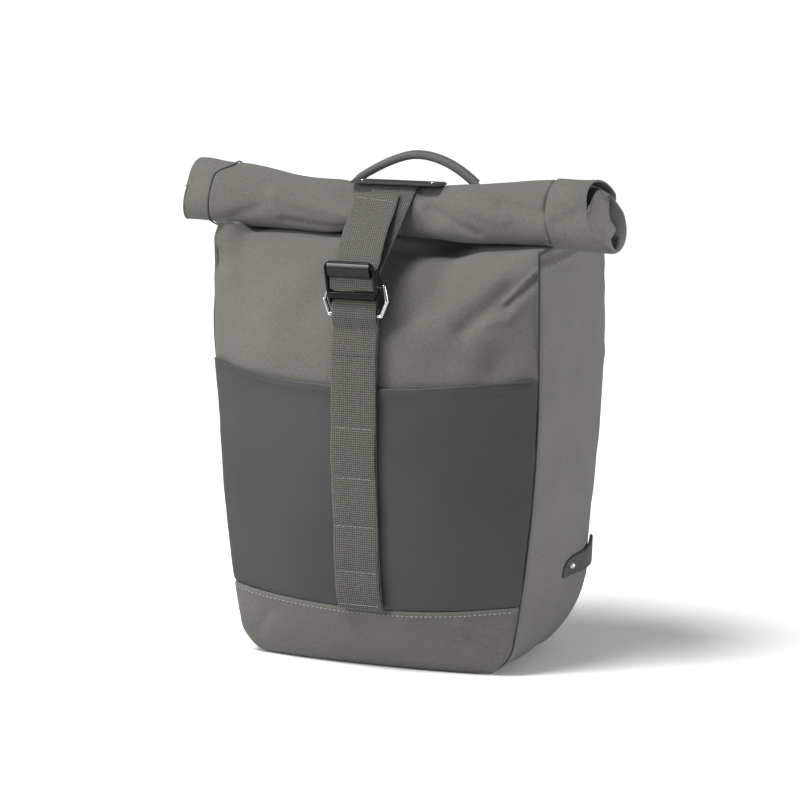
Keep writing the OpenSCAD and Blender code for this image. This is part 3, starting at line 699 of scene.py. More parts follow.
def build_front():
    """Front sheet, from under the base up over its shoulder and in under the roll."""
    across = np.linspace(-FRONT_SPAN, FRONT_SPAN, 190)
    wall, shoulder, tuck = np.linspace(1, 2, 90), np.linspace(2, 3, 110), np.linspace(3, 3.9, 24)
    up = joined(np.linspace(0, 1, 16), wall, shoulder, tuck)
    u, v = np.meshgrid(across, up)
    p = front_point(u, v)
    obj = shell("front_fabric", lifted(p, front_relief(p, u)), CLOTH_T, MAT["fabric"])
    stands_for(obj, "fabric", "front_panel")


def pocket_edge(u):
    """Height of the pocket's open edge: it sags between its corners."""
    return POCKET_H - 0.0085 * (1 - np.abs(u) ** 1.6) - 0.0015 * (u < 0) * np.sin(np.pi * u) ** 2


def band_seam(u):
    """Height of the seam over the lower band."""
    return BAND_H - 0.0070 * (1 - np.abs(u) ** 2.0)


def strip_surface(low_edge, high_edge, rows, relief=1.0):
    """Part of the front between two edges given as heights across u."""
    u, s = np.meshgrid(np.linspace(-PANEL_SPAN, PANEL_SPAN, 180), np.linspace(0, 1, rows))
    z = mix(low_edge(u), high_edge(u), s)
    p = front_point(u, v_of_height(np.maximum(z, CORNER_R)))
    low = front_point(u, np.arccos(np.clip(1 - z / CORNER_R, -1, 1)) / (np.pi / 2))
    p = np.where((z < CORNER_R)[..., None], low, p)
    return lifted(p, relief * front_relief(p, u)), u, s


def build_pocket():
    """Coated pocket panel, gaping a little at its top edge, with a rolled hem."""
    p, u, s = strip_surface(lambda u: band_seam(u) + 0.0004, pocket_edge, 110, POCKET_RELIEF)
    gape = 0.0018 * bell(1 - s, 0.05) * (1 - np.abs(u) ** 6)
    tuck = -0.0010 * bell(s, 0.012)
    p = lifted(p, POCKET_OFF + gape + tuck)
    stands_for(shell("coated_pocket", p, POCKET_T, MAT["coated"]), "coated_fabric", "pocket_panel")
    hem = strip_surface(lambda u: pocket_edge(u) - 0.0010, pocket_edge, 2, POCKET_RELIEF)[0][1]
    hem = hem + surface_normals(p)[-1] * (POCKET_OFF + 0.0010)
    tube("pocket_hem", hem[2:-2], oval_section(0.0011, 0.0009, 2, 10), MAT["coated"])


def build_band():
    """Fabric band over the foot of the pocket."""
    p, u, s = strip_surface(lambda u: 0.0025 + 0 * u, band_seam, 44)
    p = lifted(p, BAND_OFF - 0.0009 * bell(1 - s, 0.03))
    stands_for(shell("base_band_fabric", p, CLOTH_T, MAT["fabric"]), "fabric", "base_band")


def build_gussets():
    """Side walls, gathered along their seams and folded in at the top."""
    up = joined(np.linspace(0, 1, 18), np.linspace(1, 2, 120), np.linspace(2, 2.8, 24))
    w, v = np.meshgrid(np.linspace(0.005, 0.988, 84), up)
    seed = {1: noise_a, -1: noise_b}
    for side, name in SIDES:
        p = gusset_point(w, v, side)
        z = p[..., 2]
        from_front, from_rear = w * 2 * HALF_D, (1 - w) * 2 * HALF_D
        out = 0.0016 * seed[side](p, 0.07) + 0.0004 * seed[-side](p, 0.025)
        out = out + seam_pucker(from_front, z, 2.0 + side) + seam_pucker(from_rear, z, 5.0 + side)
        out = out - 0.0012 * bell(from_front, 0.003)
        out = out - 0.0020 * bell(from_rear, 0.003)
        fold_z = mix(0.3405, 0.3500, smooth(w * 1.1))
        out = out + 0.0020 * bell(z - fold_z, 0.0022)
        out = out - 0.0022 * bell(z - fold_z - 0.006, 0.004)
        q = lifted(p, out) * np.array([side, 1, 1])
        obj = shell(name + "_gusset_fabric", q, CLOTH_T, MAT["fabric_side"], side=side)
        stands_for(obj, "fabric", name + "_gusset")


def build_rear():
    u, s = np.meshgrid(np.linspace(-0.985, 0.985, 110), np.linspace(0, 1, 120))
    z = mix(REAR_RISE + 0.001, FOLD_H + 0.003, s)
    x = u * corner_w(z - REAR_RISE)
    from_seam = half_w(z) * (1 - np.abs(u))
    dip = 0.0018 * bell(from_seam, 0.004) + 0.0008 * bell(s, 0.02)
    y = HALF_D + 0.0002 - dip - np.abs(seam_pucker(from_seam, z, 9.0))
    p = np.stack([x, y, z], -1)
    obj = shell("rear_fabric", p, CLOTH_T, MAT["fabric_side"], side=-1)
    stands_for(obj, "fabric", "rear_panel")


def build_base():
    u, s = np.meshgrid(np.linspace(-1, 1, 90), np.linspace(0, 1, 110))
    y = mix(front_y(u, 0.0) + LIP, HALF_D - 0.0005, s)
    z = base_rise(y) + 0.0002
    p = np.stack([u * corner_w(0.0), y, z], -1)
    obj = shell("base_fabric", p, CLOTH_T, MAT["fabric"], side=-1)
    stands_for(obj, "fabric", "base_panel")


def build_neck():
    """Rear sheet of the neck, from the rear wall up to the roll, gathered where it is rolled in."""
    u, t = np.meshgrid(np.linspace(-1, 1, 160), np.linspace(0, 1.04, 60))
    x = u * (mix(TOP_HALF_W, NECK_HALF_W, t**1.5) - 0.0012 + 0.0024 * smooth(t / 0.25))
    y = mix(HALF_D, NECK_Y + 0.002, t)
    clear = 1 - np.abs(u) ** 10
    z = mix(FOLD_H - 0.001 + 0.005 * clear, NECK_Z + 0.001, t)
    z = z + 0.006 * clear * np.sin(np.pi * np.minimum(t, 1))
    p = np.stack([x, y, z], -1)
    fan = np.sin(u * 9 + 0.8 * noise_a(p, 0.05)) * smooth((t - 0.25) / 0.6)
    fan = fan * (1 - smooth((t - 0.9) / 0.1))
    out = (0.0016 * fan + 0.0016 * noise_b(p, 0.05)) * clear
    obj = shell("neck_fabric", lifted(p, -out), CLOTH_T, MAT["fabric"], side=-1)
    stands_for(obj, "fabric", "neck_panel")


def seam_path(side, low, high, count=90):
    """The front seam on one side, from v low to v high."""
    p = front_point(np.full(count, float(side)), np.linspace(low, high, count))
    inward = [-0.0010 if side > 0 else 0.0036, 0.0004, 0.0]
    return p + np.array(inward)


def build_piping():
    """Cords along the two front seams; the left one ends lower."""
    for side, name in SIDES:
        path = seam_path(side, 0.35, 3.75 if side > 0 else 2.4)
        obj = tube(name + "_seam_cord", path, circle_section(SEAM_CORD_R, 10), MAT["cord"])
        stands_for(obj, "piping", name + "_piping")


# ---- Stitches ----

# Length, gap and radius of the stitches
LONG_STITCH = (0.0026, 0.0015, 0.00038)
TACK_STITCH = (0.0019, 0.0006, 0.00036)
HEM_STITCH = (0.0021, 0.0008, 0.00036)
LOOP_STITCH = (0.0019, 0.0008, 0.0004)
HANDLE_STITCH = (0.0022, 0.0010, 0.0004)


def stitch_row(name, path, normal, material, size=LONG_STITCH, body="bag"):
    """A row of thread stitches along a path, each a small bowed capsule."""
    length, gap, radius = size
    run = run_length(path)
    section = circle_section(1.0, 6)
    steps = 5
    q = np.linspace(-1, 1, steps)
    swell = radius * np.sqrt(np.maximum(0.12, 1 - q**4))
    rise = radius * 0.8 * (1 - q**2)
    verts, faces = [], []
    start = gap / 2
    while start + length < run[-1]:
        s = np.linspace(start, start + length, steps)
        centre = np.stack([np.interp(s, run, path[:, k]) for k in range(3)], -1)
        n = unit(np.stack([np.interp(s, run, normal[:, k]) for k in range(3)], -1))
        b = np.cross(unit(np.gradient(centre, axis=0)), n)
        faces += ring_faces(steps, len(section), len(verts))
        for i in range(steps):
            for c, d in section:
                verts.append(centre[i] + n[i] * (rise[i] + c * swell[i]) + b[i] * d * swell[i])
        start += length + gap
    return new_object(name, verts, faces, None, material, body)


def front_stitches(name, height, off, material):
    """Stitches across the front, at a height given across u."""
    u = np.stack([np.linspace(-0.975, 0.975, 200)] * 3)
    v = np.stack([v_of_height(height(u[0]) + d) for d in (-0.002, 0, 0.002)])
    p = front_point(u, v)
    n = surface_normals(p)[1]
    path = p[1] + n * (off + front_relief(p, u)[1])[..., None]
    return stitch_row(name, path, n, material)


def build_front_stitches():
    hem, band = lambda u: pocket_edge(u) - 0.006, lambda u: band_seam(u) - 0.0035
    front_stitches("pocket_hem_stitches", hem, POCKET_OFF + 0.0016, MAT["dark_thread"])
    front_stitches("band_stitches", band, BAND_OFF + 0.0004, MAT["thread"])


def cross_row(x, yz):
    """A straight row of points across the bag, at one place in Y and Z."""
    return np.stack([x, np.full(len(x), yz[0]), np.full(len(x), yz[1])], -1)


def row_normals(yz, count):
    return np.tile([0.0, *yz], (count, 1))


# ---- Webbing ----

RIB_STEP = WEBBING_PITCH / 5
RIB_DEPTH = 0.00016


def ribbon(name, path, up, width, thickness, shift=0.0, bow=0.0):
    """Webbing along a path in Y and Z, with up as its outward side."""
    run = run_length(path)
    across = np.linspace(-1, 1, 41)
    half = width / 2
    shift, bow = (np.broadcast_to(a, len(path))[:, None] for a in (shift, bow))
    wave = RIB_DEPTH * np.sin(2 * np.pi * run / WEBBING_PITCH)[:, None]
    bead = RIB_DEPTH * np.sin(np.pi * across * width / WEBBING_PITCH)
    edge = 1 - np.clip((np.abs(across) - 0.93) / 0.07, 0, 1) ** 2
    half_t = thickness / 2 * np.sqrt(np.maximum(edge, 0.02))
    x = shift + across * half
    verts = []
    for height in (half_t + (wave + bead) * (edge > 0.5) + bow, bow - half_t):
        yz = path[:, None] + up[:, None] * height[..., None]
        verts.append(np.concatenate([x[..., None], yz], -1).reshape(-1, 3))
    uv = np.stack(np.meshgrid(across * half, run), -1).reshape(-1, 2)
    faces = sheet_faces(*x.shape).tolist()
    obj = new_object(name, np.concatenate(verts), faces, np.tile(uv, (2, 1)), MAT["webbing"], None, 70)
    face_outward(obj)
    return obj


def bag_ribbon(*shape):
    """Webbing sewn to the bag."""
    obj = ribbon(*shape)
    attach(obj, "bag")
    return obj


# The two layers of the daisy chain: how far off the front, and how thick
UNDER_OFF = 0.0046
UNDER_T = 0.0014
OUTER_OFF = 0.0064
OUTER_T = 0.0016
# Heights of the bar tacks: across the daisy chain's loops, then at its foot and its head
LOOP_TACKS = (0.086, 0.125, 0.165, 0.207)
END_TACKS = (0.0575, 0.281)
TACK_BOW = 0.0013
RING_WIRE_R = 0.00175
RING_LOOP_R = RING_WIRE_R + 0.0011


def front_line(z):
    """Y and Z of the front's middle line at a height."""
    return front_point(np.zeros_like(z), v_of_height(z))[:, 1:]


def nearest(values, target):
    return int(np.argmin(np.abs(values - target)))


def build_daisy_webbing():
    """Front webbing: a flat under layer, and an outer layer bar-tacked to it, looped round the ring."""
    line = front_line(np.linspace(0.0545, 0.290, 200))
    n = left_normals(line)
    under = resample(line + n * UNDER_OFF, RIB_STEP)
    low = bag_ribbon("daisy_webbing_under", under, left_normals(under), WEBBING_W, UNDER_T)
    stands_for(low, "webbing")

    angles = np.radians(np.linspace(200, -20, 40))
    loop = RING_PIVOT + RING_LOOP_R * np.stack([np.cos(angles), np.sin(angles)], -1)
    loop[:, 1] += 0.0090 * np.sin(np.linspace(0, np.pi, 40)) ** 0.7
    outer_line = line + n * OUTER_OFF
    back = RING_PIVOT + np.array([0.0030, -0.012])
    path = np.concatenate([outer_line[outer_line[:, 1] < 0.289], loop, back[None]])
    outer = resample(path, RIB_STEP)
    outer_n = left_normals(outer)
    z = outer[:, 1]
    marks = (0.056, *LOOP_TACKS, 0.285)
    bow = np.zeros(len(outer))
    for a, b in zip(marks[:-1], marks[1:]):
        inside = (z > a) & (z < b) & (outer[:, 0] < RING_PIVOT[0] + 0.02)
        bow += TACK_BOW * inside * np.maximum(0, np.sin(np.pi * (z - a) / (b - a))) ** 0.6
    bow *= z < marks[-1]
    shift = 0.0006 * np.sin(z * 60)
    obj = bag_ribbon("daisy_webbing_outer", outer, outer_n, WEBBING_W, OUTER_T, shift, bow)
    stands_for(obj, "webbing", "daisy_webbing")

    xs = np.linspace(-0.0175, 0.0175, 30)
    for k, tack in enumerate(LOOP_TACKS + END_TACKS):
        i = nearest(z[: len(z) * 3 // 4], tack)
        zig = 0.0007 * np.where(np.arange(30) % 2, 1, -1) * (tack in LOOP_TACKS)
        row = cross_row(xs, outer[i] + outer_n[i] * (0.00095 + bow[i]))
        row[:, 1:] += zig[:, None] * np.array([outer_n[i, 1], -outer_n[i, 0]])
        material = MAT["dark_thread" if tack == END_TACKS[1] else "thread"]
        stitch_row(f"bar_tack_{k}", row, row_normals(outer_n[i], 30), material, TACK_STITCH)


def roll_size(x):
    """Thickness of the roll along its length, as a share of its greatest: pinched by the strap."""
    middle = 0.745 + 0.065 * smooth((x + 0.07) / 0.12) - 0.09 * bell(x, 0.046, 6)
    return middle + 0.19 * smooth((-0.075 - x) / 0.09) + 0.15 * smooth((x - 0.05) / 0.15)


def roll_axis(x):
    """Y and Z of the roll's axis, which sags towards the middle."""
    left = 0.0060 * smooth((-0.06 - x) / 0.09) + 0.0028 * smooth((-0.14 - x) / 0.04)
    right = 0.0040 * smooth((x - 0.05) / 0.09) - 0.0008 * smooth((x - 0.14) / 0.05)
    z = ROLL_Z - 0.0050 - 0.0015 * smooth((x + 0.04) / 0.08) + left + right
    return np.stack([np.full_like(z, ROLL_Y), z], -1)


def roll_yz(x, angle, size, off=0.0):
    """Point of the roll's section at x; angle 0 is its rear top tip, 90 degrees its front top side."""
    share = roll_size(x) * size
    along = (ROLL_A * share + off) * np.cos(angle)
    across = (ROLL_B * share + off) * np.sin(angle)
    return roll_axis(x) + along[..., None] * ROLL_LONG + across[..., None] * ROLL_SHORT


STRAP_T = 0.0015
STRAP_TAIL = 0.097
STRAP_BAR_R = 0.0022
# The loose tail hangs askew by this angle
TAIL_LEAN = math.radians(8.7)


def build_closure_strap():
    """One length of webbing: from under the plate, down to the buckle's bar, round it and back."""
    leave_angle = math.atan2(0.014 * (STRAP_UP @ ROLL_SHORT), 0.022 * (STRAP_UP @ ROLL_LONG))
    angles = np.linspace(math.radians(12), leave_angle, 30)
    on_roll = roll_yz(np.zeros(30), angles, 1.0, 0.0010 + STRAP_T / 2)
    loop_r = STRAP_BAR_R + 0.0001 + STRAP_T / 2
    phi = math.atan2(-STRAP_UP[1], -STRAP_UP[0])
    arc = np.linspace(phi, phi - math.pi, 50)
    loop = BAR + loop_r * np.stack([np.cos(arc), np.sin(arc)], -1)
    slack = np.sin(np.linspace(0, np.pi, 50))[:, None] ** 2
    loop = loop - 0.0066 * slack * BUCKLE_UP + 0.0006 * slack * BUCKLE_OUT
    q = np.linspace(0, 1, 60)[1:, None]
    bowed = loop_r + 0.0045 * np.sin(np.pi * q**0.62) ** 1.3
    lift = mix(bowed, 0.0019, smooth((q - 0.55) / 0.35))
    tail = BAR - STRAP_DIR * STRAP_TAIL * q + STRAP_UP * lift
    straight = mix(on_roll[-1], BAR - STRAP_UP * loop_r, np.linspace(0, 1, 40)[1:-1, None])
    path = resample(np.concatenate([on_roll, straight, loop, tail]), RIB_STEP)
    n = -left_normals(path)
    run = run_length(path)
    loose = np.maximum(0, run - (run[-1] - STRAP_TAIL - loop_r * 1.5))
    skew = 0.0042 * smooth(loose / 0.02) - loose * math.tan(TAIL_LEAN)
    obj = ribbon("closure_strap_webbing", path, n, WEBBING_W - 0.0004, STRAP_T, skew)
    stands_for(obj, "webbing", "closure_strap", "strap_root")
    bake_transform(obj)

    i = nearest(run, run[-1] - 0.0085)
    top = path[i] + n[i] * (STRAP_T / 2 + 0.0002) * np.sign(n[i] @ STRAP_UP)
    row = cross_row(np.linspace(-0.0178, 0.0178, 30) + skew[i], top)
    along = np.array([0, -n[i, 1], n[i, 0]])
    row -= 0.002 * np.linspace(-1, 1, 30)[:, None] * along
    stitch_row("strap_hem_stitches", row, row_normals(STRAP_UP, 30), MAT["thread"], HEM_STITCH, "strap")


# ---- Rolled top ----

ROLL_TURNS = 2.1
ROLL_START = math.radians(-62)
ROLL_T = 0.0011
# How fast the roll's section shrinks from one turn to the next
TURN_SHRINK = 0.26
CUFF_DEPTH = 0.0026
ROLL_GIRTH = 0.027
# Each fold of the roll: start and end in x and angle * ROLL_GIRTH, width, height
ROLL_FOLDS = (
    ((-0.030, 0.060), (-0.105, 0.046), 0.0060, 0.0020),
    ((-0.035, 0.076), (-0.095, 0.072), 0.0050, -0.0022),
    ((-0.120, 0.062), (-0.158, 0.080), 0.0060, -0.0018),
    ((0.036, 0.048), (0.080, 0.072), 0.0050, -0.0022),
    ((0.046, 0.038), (0.105, 0.058), 0.0060, 0.0018),
    ((0.100, 0.044), (0.136, 0.052), 0.0050, -0.0016),
    ((0.150, 0.060), (0.178, 0.046), 0.0060, -0.0016),
)
# The flap across a mouth hangs between these angles
TURN_LOW = math.radians(200)
TURN_HIGH = math.radians(108)


def roll_end(angle, side):
    """Where the rolled cloth ends at an angle round the roll: the mouths are cut on the skew."""
    if side > 0:
        return 0.1853 - 0.0118 * np.sin(angle) - 0.0075 * np.cos(angle)
    return 0.1890 - 0.0005 * np.sin(angle) - 0.0012 * np.cos(angle)


def cuff_seam(angle, side):
    """X of the seam where a side wall's cloth joins the front's, which turns in over the top."""
    if side > 0:
        return 0.1390 + 0.0075 * smooth((angle - math.radians(90)) / 1.3)
    top = 0.0125 * smooth((math.radians(82) - angle) / 0.70)
    return -0.1640 + top + 0.0045 * smooth((angle - math.radians(165)) / 0.5)


def roll_x_samples():
    """Stations along the roll as shares of its half length, closer at the seams and ends."""
    fine = [np.linspace(-1.0, -0.78, 90), np.linspace(0.70, 0.82, 50), np.linspace(0.90, 1.0, 24)]
    coarse = [np.linspace(-0.78, 0.70, 180), np.linspace(0.82, 0.90, 10)]
    return np.unique(np.round(np.concatenate(fine + coarse), 6))


def turned_in(rim, radial, angle, lap, side):
    """The cloth past a mouth's rim: a narrow hem, or low at the front a flap across the mouth."""
    t = np.linspace(0, 1, 26)[1:-1]
    t, start = t[None, :, None], rim[:, None]
    fold = np.minimum(1, t / 0.3) * np.pi
    back = np.maximum(0, t - 0.3) * 0.006
    out = (0.0010 * np.sin(fold) - back) * np.array([side, 0, 0])
    into = np.concatenate([np.zeros((len(rim), 1)), radial], 1)[:, None]
    hem = start + out - into * 0.0010 * (1 - np.cos(fold))

    q = np.clip((TURN_LOW - angle) / (TURN_LOW - TURN_HIGH), 0, 1)
    centre, size = roll_axis(rim[:, 0]), roll_size(rim[:, 0])
    spike = bell(q - 0.50, 0.08)
    edge_long = mix(-0.74, 0.64, q)
    edge_short = -0.62 + 0.66 * q**2 - 0.40 * spike

    def inside(x, along, across):
        yz = centre + (ROLL_A * size * along)[:, None] * ROLL_LONG
        yz = yz + (ROLL_B * size * across)[:, None] * ROLL_SHORT
        return np.concatenate([(side * x)[:, None], yz], 1)[:, None]

    edge = inside(0.1870 + 0.004 * spike, edge_long, edge_short)
    corner = inside(np.full_like(q, 0.1750), np.full_like(q, 0.72), np.full_like(q, 0.60))
    puff = 0.009 if side > 0 else -0.001
    near = start + np.array([side * puff, 0, 0]) - into * 0.0015
    bend = mix(near, corner, smooth((q - 0.55) / 0.45)[:, None, None])
    flap = (1 - t) ** 3 * start + 3 * t * (1 - t) * bend + t**3 * edge
    flap = flap + 0.0008 * np.sin(7 * t + 5 * q[:, None, None]) * t * np.array([side, 0, 0])

    turned = smooth((TURN_LOW + 0.10 - angle) / 0.22) * smooth((angle - TURN_HIGH + 0.05) / 0.10)
    return mix(hem, flap, (turned * (lap < 0.95))[:, None, None])


def build_roll():
    """The closed top: one sheet in a spiral, seamed near both ends and turned in at its mouths."""
    turns = 2 * np.pi * ROLL_TURNS
    s, th = np.meshgrid(roll_x_samples(), np.linspace(0, turns, 340))
    lap = th / (2 * np.pi)
    angle = ROLL_START + th
    deep = 0.040 * np.clip(lap - 1, 0, 1) + 0.007 * (1 - smooth(lap / 0.10))
    right_x, left_x = roll_end(angle, 1) - deep, roll_end(angle, -1) - deep
    x = np.where(s > 0, s * right_x, s * left_x)
    size = 1 - TURN_SHRINK * np.maximum(0, lap - 0.70)
    yz = roll_yz(x, angle, size)
    p = np.concatenate([x[..., None], yz], -1)

    to_right, to_left = x - cuff_seam(angle, 1), cuff_seam(angle, -1) - x
    right, left = smooth(to_right / 0.0014), smooth(to_left / 0.0014)
    front = smooth((angle - math.radians(50)) / 1.0)
    out = 0.0012 * right - CUFF_DEPTH * left * (0.2 + 0.8 * front)
    out = out - 0.0022 * bell(to_left - 0.0006, 0.0010)
    gather = np.maximum(0, noise_b(p, 0.013)) * bell(to_right, 0.009) * (1 - right)
    out = out - 0.0032 * gather - 0.0015 * bell(to_right + 0.0006, 0.0012)
    out = out + 0.0015 * noise_a(p, 0.055) + 0.0009 * noise_b(p, 0.023)
    near_strap = bell(np.abs(x) - 0.036, 0.022) * smooth((np.abs(x) - 0.018) / 0.008)
    out = out - 0.0030 * near_strap * bell(angle - math.radians(70), 0.5)
    out = out + 0.0011 * near_strap * np.sin(angle * 4 + x * 60)
    for start, end, width, height in ROLL_FOLDS:
        out = out + ridge(x, angle * ROLL_GIRTH, start, end, width, height) * (lap < 1)
    flare = smooth((np.abs(x) - 0.150) / 0.035)
    out = out + flare * (0.0004 * np.sin(angle * 2 + 0.9) + 0.0005 * noise_b(p, 0.020))

    radial = unit(yz - roll_axis(x))
    keep = np.where(lap > 1.0, 0.3, 1.0)
    p[..., 1:] += radial * (out * keep)[..., None]
    left_hem = turned_in(p[:, 0], radial[:, 0], angle[:, 0], lap[:, 0], -1)
    right_hem = turned_in(p[:, -1], radial[:, -1], angle[:, -1], lap[:, -1], 1)
    p = np.concatenate([left_hem[:, ::-1], p, right_hem], 1)
    obj = shell("roll_top_fabric", p, ROLL_T, MAT["fabric"], "roll", side=-1)
    stands_for(obj, "fabric", "rolled_top")


def build_cuff_seam():
    # A dark cord sunk along the left cuff seam: partly a seam cord, and partly painted shade, a dark line
    # standing in for the seam's shadow gap.
    seam_angle = np.radians(np.linspace(-10, 206, 160))
    seam_x = cuff_seam(seam_angle, -1) - 0.0004
    seam = np.concatenate([seam_x[:, None], roll_yz(seam_x, seam_angle, 1.0, -0.0006)], 1)
    obj = tube("cuff_seam_cord", seam, circle_section(CUFF_CORD_R, 8), MAT["cord"], "roll")
    stands_for(obj, "fabric")


def build_roll_core():
    """The stiffened hem flattened inside the last turn, which closes the middle of the roll."""
    last = 2 * np.pi * (ROLL_TURNS - 1)
    th = np.linspace(last, last + 2 * np.pi, 72)[:-1]
    reach = np.linspace(-1, 1, 61)
    x = np.repeat((0.142 * reach)[:, None], len(th), 1)
    ends = np.sqrt(np.clip(1 - (np.abs(reach) - 0.9).clip(0) / 0.1, 0.0004, 1))[:, None]
    size = (1 - TURN_SHRINK * (th / (2 * np.pi) - 0.70))[None, :] * ends
    yz = roll_yz(x, ROLL_START + np.repeat(th[None, :], len(x), 0), size, -0.0026 * ends)
    p = np.concatenate([x[..., None], yz], -1)
    faces = [face[::-1] for face in ring_faces(*p.shape[:2])]
    obj = new_object("roll_core_fabric", p.reshape(-1, 3), faces, None, MAT["fabric"], "roll")
    stands_for(obj, "fabric")


# ---- Leather plate, tabs and rivets ----

def pillow(name, centre, size, corner_r, thickness, material, body):
    """A flat pillowed slab with rounded corners, lying level on its centre."""
    half, count, rows = np.array(size) / 2, 80, 10
    a = full_circle(count)
    ring = np.stack([np.cos(a), np.sin(a)], -1)
    outline = np.sign(ring) * (half - corner_r) + corner_r * ring
    edge_r = thickness * 0.45
    loops = [(0.0, 0.0)]
    for t in np.linspace(0, math.pi / 2, 7):
        loops.append((edge_r * (1 - math.cos(t)), thickness - edge_r + edge_r * math.sin(t)))
    for k in range(1, rows):
        loops.append((edge_r + (half.min() - edge_r) * k / rows, thickness))
    verts = []
    for inset, height in loops:
        flat = outline * ((half - inset) / half)
        verts.append(centre + np.concatenate([flat, np.full((count, 1), height)], 1))
    faces = ring_faces(len(loops), count)
    return new_object(name, np.concatenate(verts), faces, None, material, body, 40)


def rivet(name, centre, axis, radius, height, body):
    """A domed rivet head with a small flat rim."""
    axis = unit(np.array(axis, float))
    ref = np.array([1.0, 0, 0]) if abs(axis[0]) < 0.8 else np.array([0, 1.0, 0])
    ex = unit(np.cross(axis, ref))
    ey = np.cross(axis, ex)
    profile = [(1.0, -0.3), (1.0, 0.12), (0.97, 0.2), (0.90, 0.24)]
    profile += [(0.88 * math.cos(t), 0.26 + 0.74 * math.sin(t)) for t in np.linspace(0.05, 1.5, 10)]
    ring = circle_section(radius, 32) @ np.stack([ex, ey])
    verts = np.concatenate([centre + axis * h * height + ring * r for r, h in profile])
    faces = ring_faces(len(profile), len(ring))
    obj = new_object(name, verts, faces, None, MAT["chrome"], body, 45)
    stands_for(obj, "rivet")
    return obj


PLATE_AT = np.array([0.0, -0.0335, 0.4014])
PLATE_SIZE = (0.080, 0.024)
PLATE_T = 0.0018
PLATE_CORNER_R = 0.004
PLATE_SAG = 0.0020
PLATE_RIVET_R = 0.0034
PLATE_RIVET_H = 0.0010


def build_plate():
    """Leatherette plate across the roll, bowed over it, holding the root of the strap."""
    obj = pillow("strap_plate_leather", PLATE_AT, PLATE_SIZE, PLATE_CORNER_R, PLATE_T, MAT["leather"],
                 "roll")
    for v in obj.data.vertices:
        v.co.z -= PLATE_SAG * (v.co.x / (PLATE_SIZE[0] / 2)) ** 2
    stands_for(obj, "leatherette", "strap_plate")
    for side, name in SIDES[::-1]:
        at = PLATE_AT + np.array([side * 0.032, -0.002, 0.0016 - 0.64 * PLATE_SAG])
        axis = [side * 0.1, 0, 1.0]
        dome = rivet("plate_rivet_" + name, at, axis, PLATE_RIVET_R, PLATE_RIVET_H, "roll")
    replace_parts(dome, "plate_rivets")


TAB_Z = 0.0700
TAB_LENGTH = 0.075
TAB_T = 0.0022
TAB_RIVET_R = 0.0032
TAB_RIVET_H = 0.0022
TAB_HALF_H = 0.011
TAB_FLARE = 0.010
TAB_RIVET_Y = 0.018


def tab_point(p, q):
    """Tab on the right wall: p from its rounded front end to the rear seam, q from foot to top."""
    y = mix(0.0, HALF_D - 0.001, p)
    half = TAB_HALF_H * np.sqrt(1 - (1 - p) ** 10)
    z = TAB_Z + q * half + TAB_FLARE * p**5 * (q + 1) / 2
    rise = base_rise(y)
    v = 1 + (z - rise - CORNER_R) / (FOLD_H - rise - CORNER_R)
    return gusset_point((y + HALF_D) / (2 * HALF_D), v)


def build_tabs():
    """Leatherette tabs, fuller in the middle than along their edges, each with a rivet at the front."""
    q, p = np.meshgrid(np.linspace(-1, 1, 32), np.linspace(0.004, 1, 60), indexing="ij")
    edge = np.minimum((1 - np.abs(q)) * TAB_HALF_H, (p - 0.004) * TAB_LENGTH)
    swell = np.sqrt(np.clip(edge / 0.0012, 0.02, 1))
    right = lifted(tab_point(p, q), 0.0008 + 0.0022 * swell)
    for side, name in SIDES[::-1]:
        surface = right * np.array([side, 1, 1])
        obj = shell(name + "_tab_leather", surface, TAB_T, MAT["leather"], side=side)
        stands_for(obj, "leatherette", name + "_tab")
        at = surface[16, int(60 * TAB_RIVET_Y / TAB_LENGTH)]
        dome = rivet(name + "_tab_rivet", at, [side, 0.0, -0.12], TAB_RIVET_R, TAB_RIVET_H, "bag")
    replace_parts(dome, "tab_rivets")


# ---- Carry handle ----

HANDLE_Y = 0.002
HANDLE_Z = 0.397
LOOP_X = 0.0655
LOOP_W = 0.017
LOOP_T = 0.0014
HANDLE_HALF_W = 0.0555
HANDLE_RISE = 0.0235
BEAD_R = 0.0015
BEAD_HALF_W = 0.0545
UPRIGHT = (0.0, 0.0, 1.0)


def neck_z(y):
    """Height of the neck's rear sheet between the rear wall and the roll."""
    t = (HALF_D - y) / (HALF_D - NECK_Y - 0.002)
    return mix(FOLD_H + 0.004, NECK_Z + 0.001, t) + 0.006 * np.sin(np.pi * t)


def build_handle_loops():
    """Webbing sewn to the neck on each side, humped over the end of the handle."""
    y = np.linspace(0.036, -0.006, 120)
    hump = 0.0050 * bell(y - HANDLE_Y - 0.001, 0.0055)
    path = resample(np.stack([y, neck_z(y) + 0.0012 + hump], -1), RIB_STEP)
    up = -left_normals(path)
    for side, name in SIDES[::-1]:
        obj = bag_ribbon(name + "_handle_loop", path, up, LOOP_W, LOOP_T, side * LOOP_X)
        stands_for(obj, "webbing")
        for k, at in enumerate((0.018, 0.030)):
            i = nearest(path[:, 0], at)
            row = cross_row(side * LOOP_X + np.linspace(-0.0065, 0.0065, 12), path[i] + [0, 0.0009])
            stitches = f"{name}_loop_stitches_{k}"
            stitch_row(stitches, row, row_normals(up[i], 12), MAT["dark_thread"], LOOP_STITCH)
    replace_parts(obj, "handle_loops")


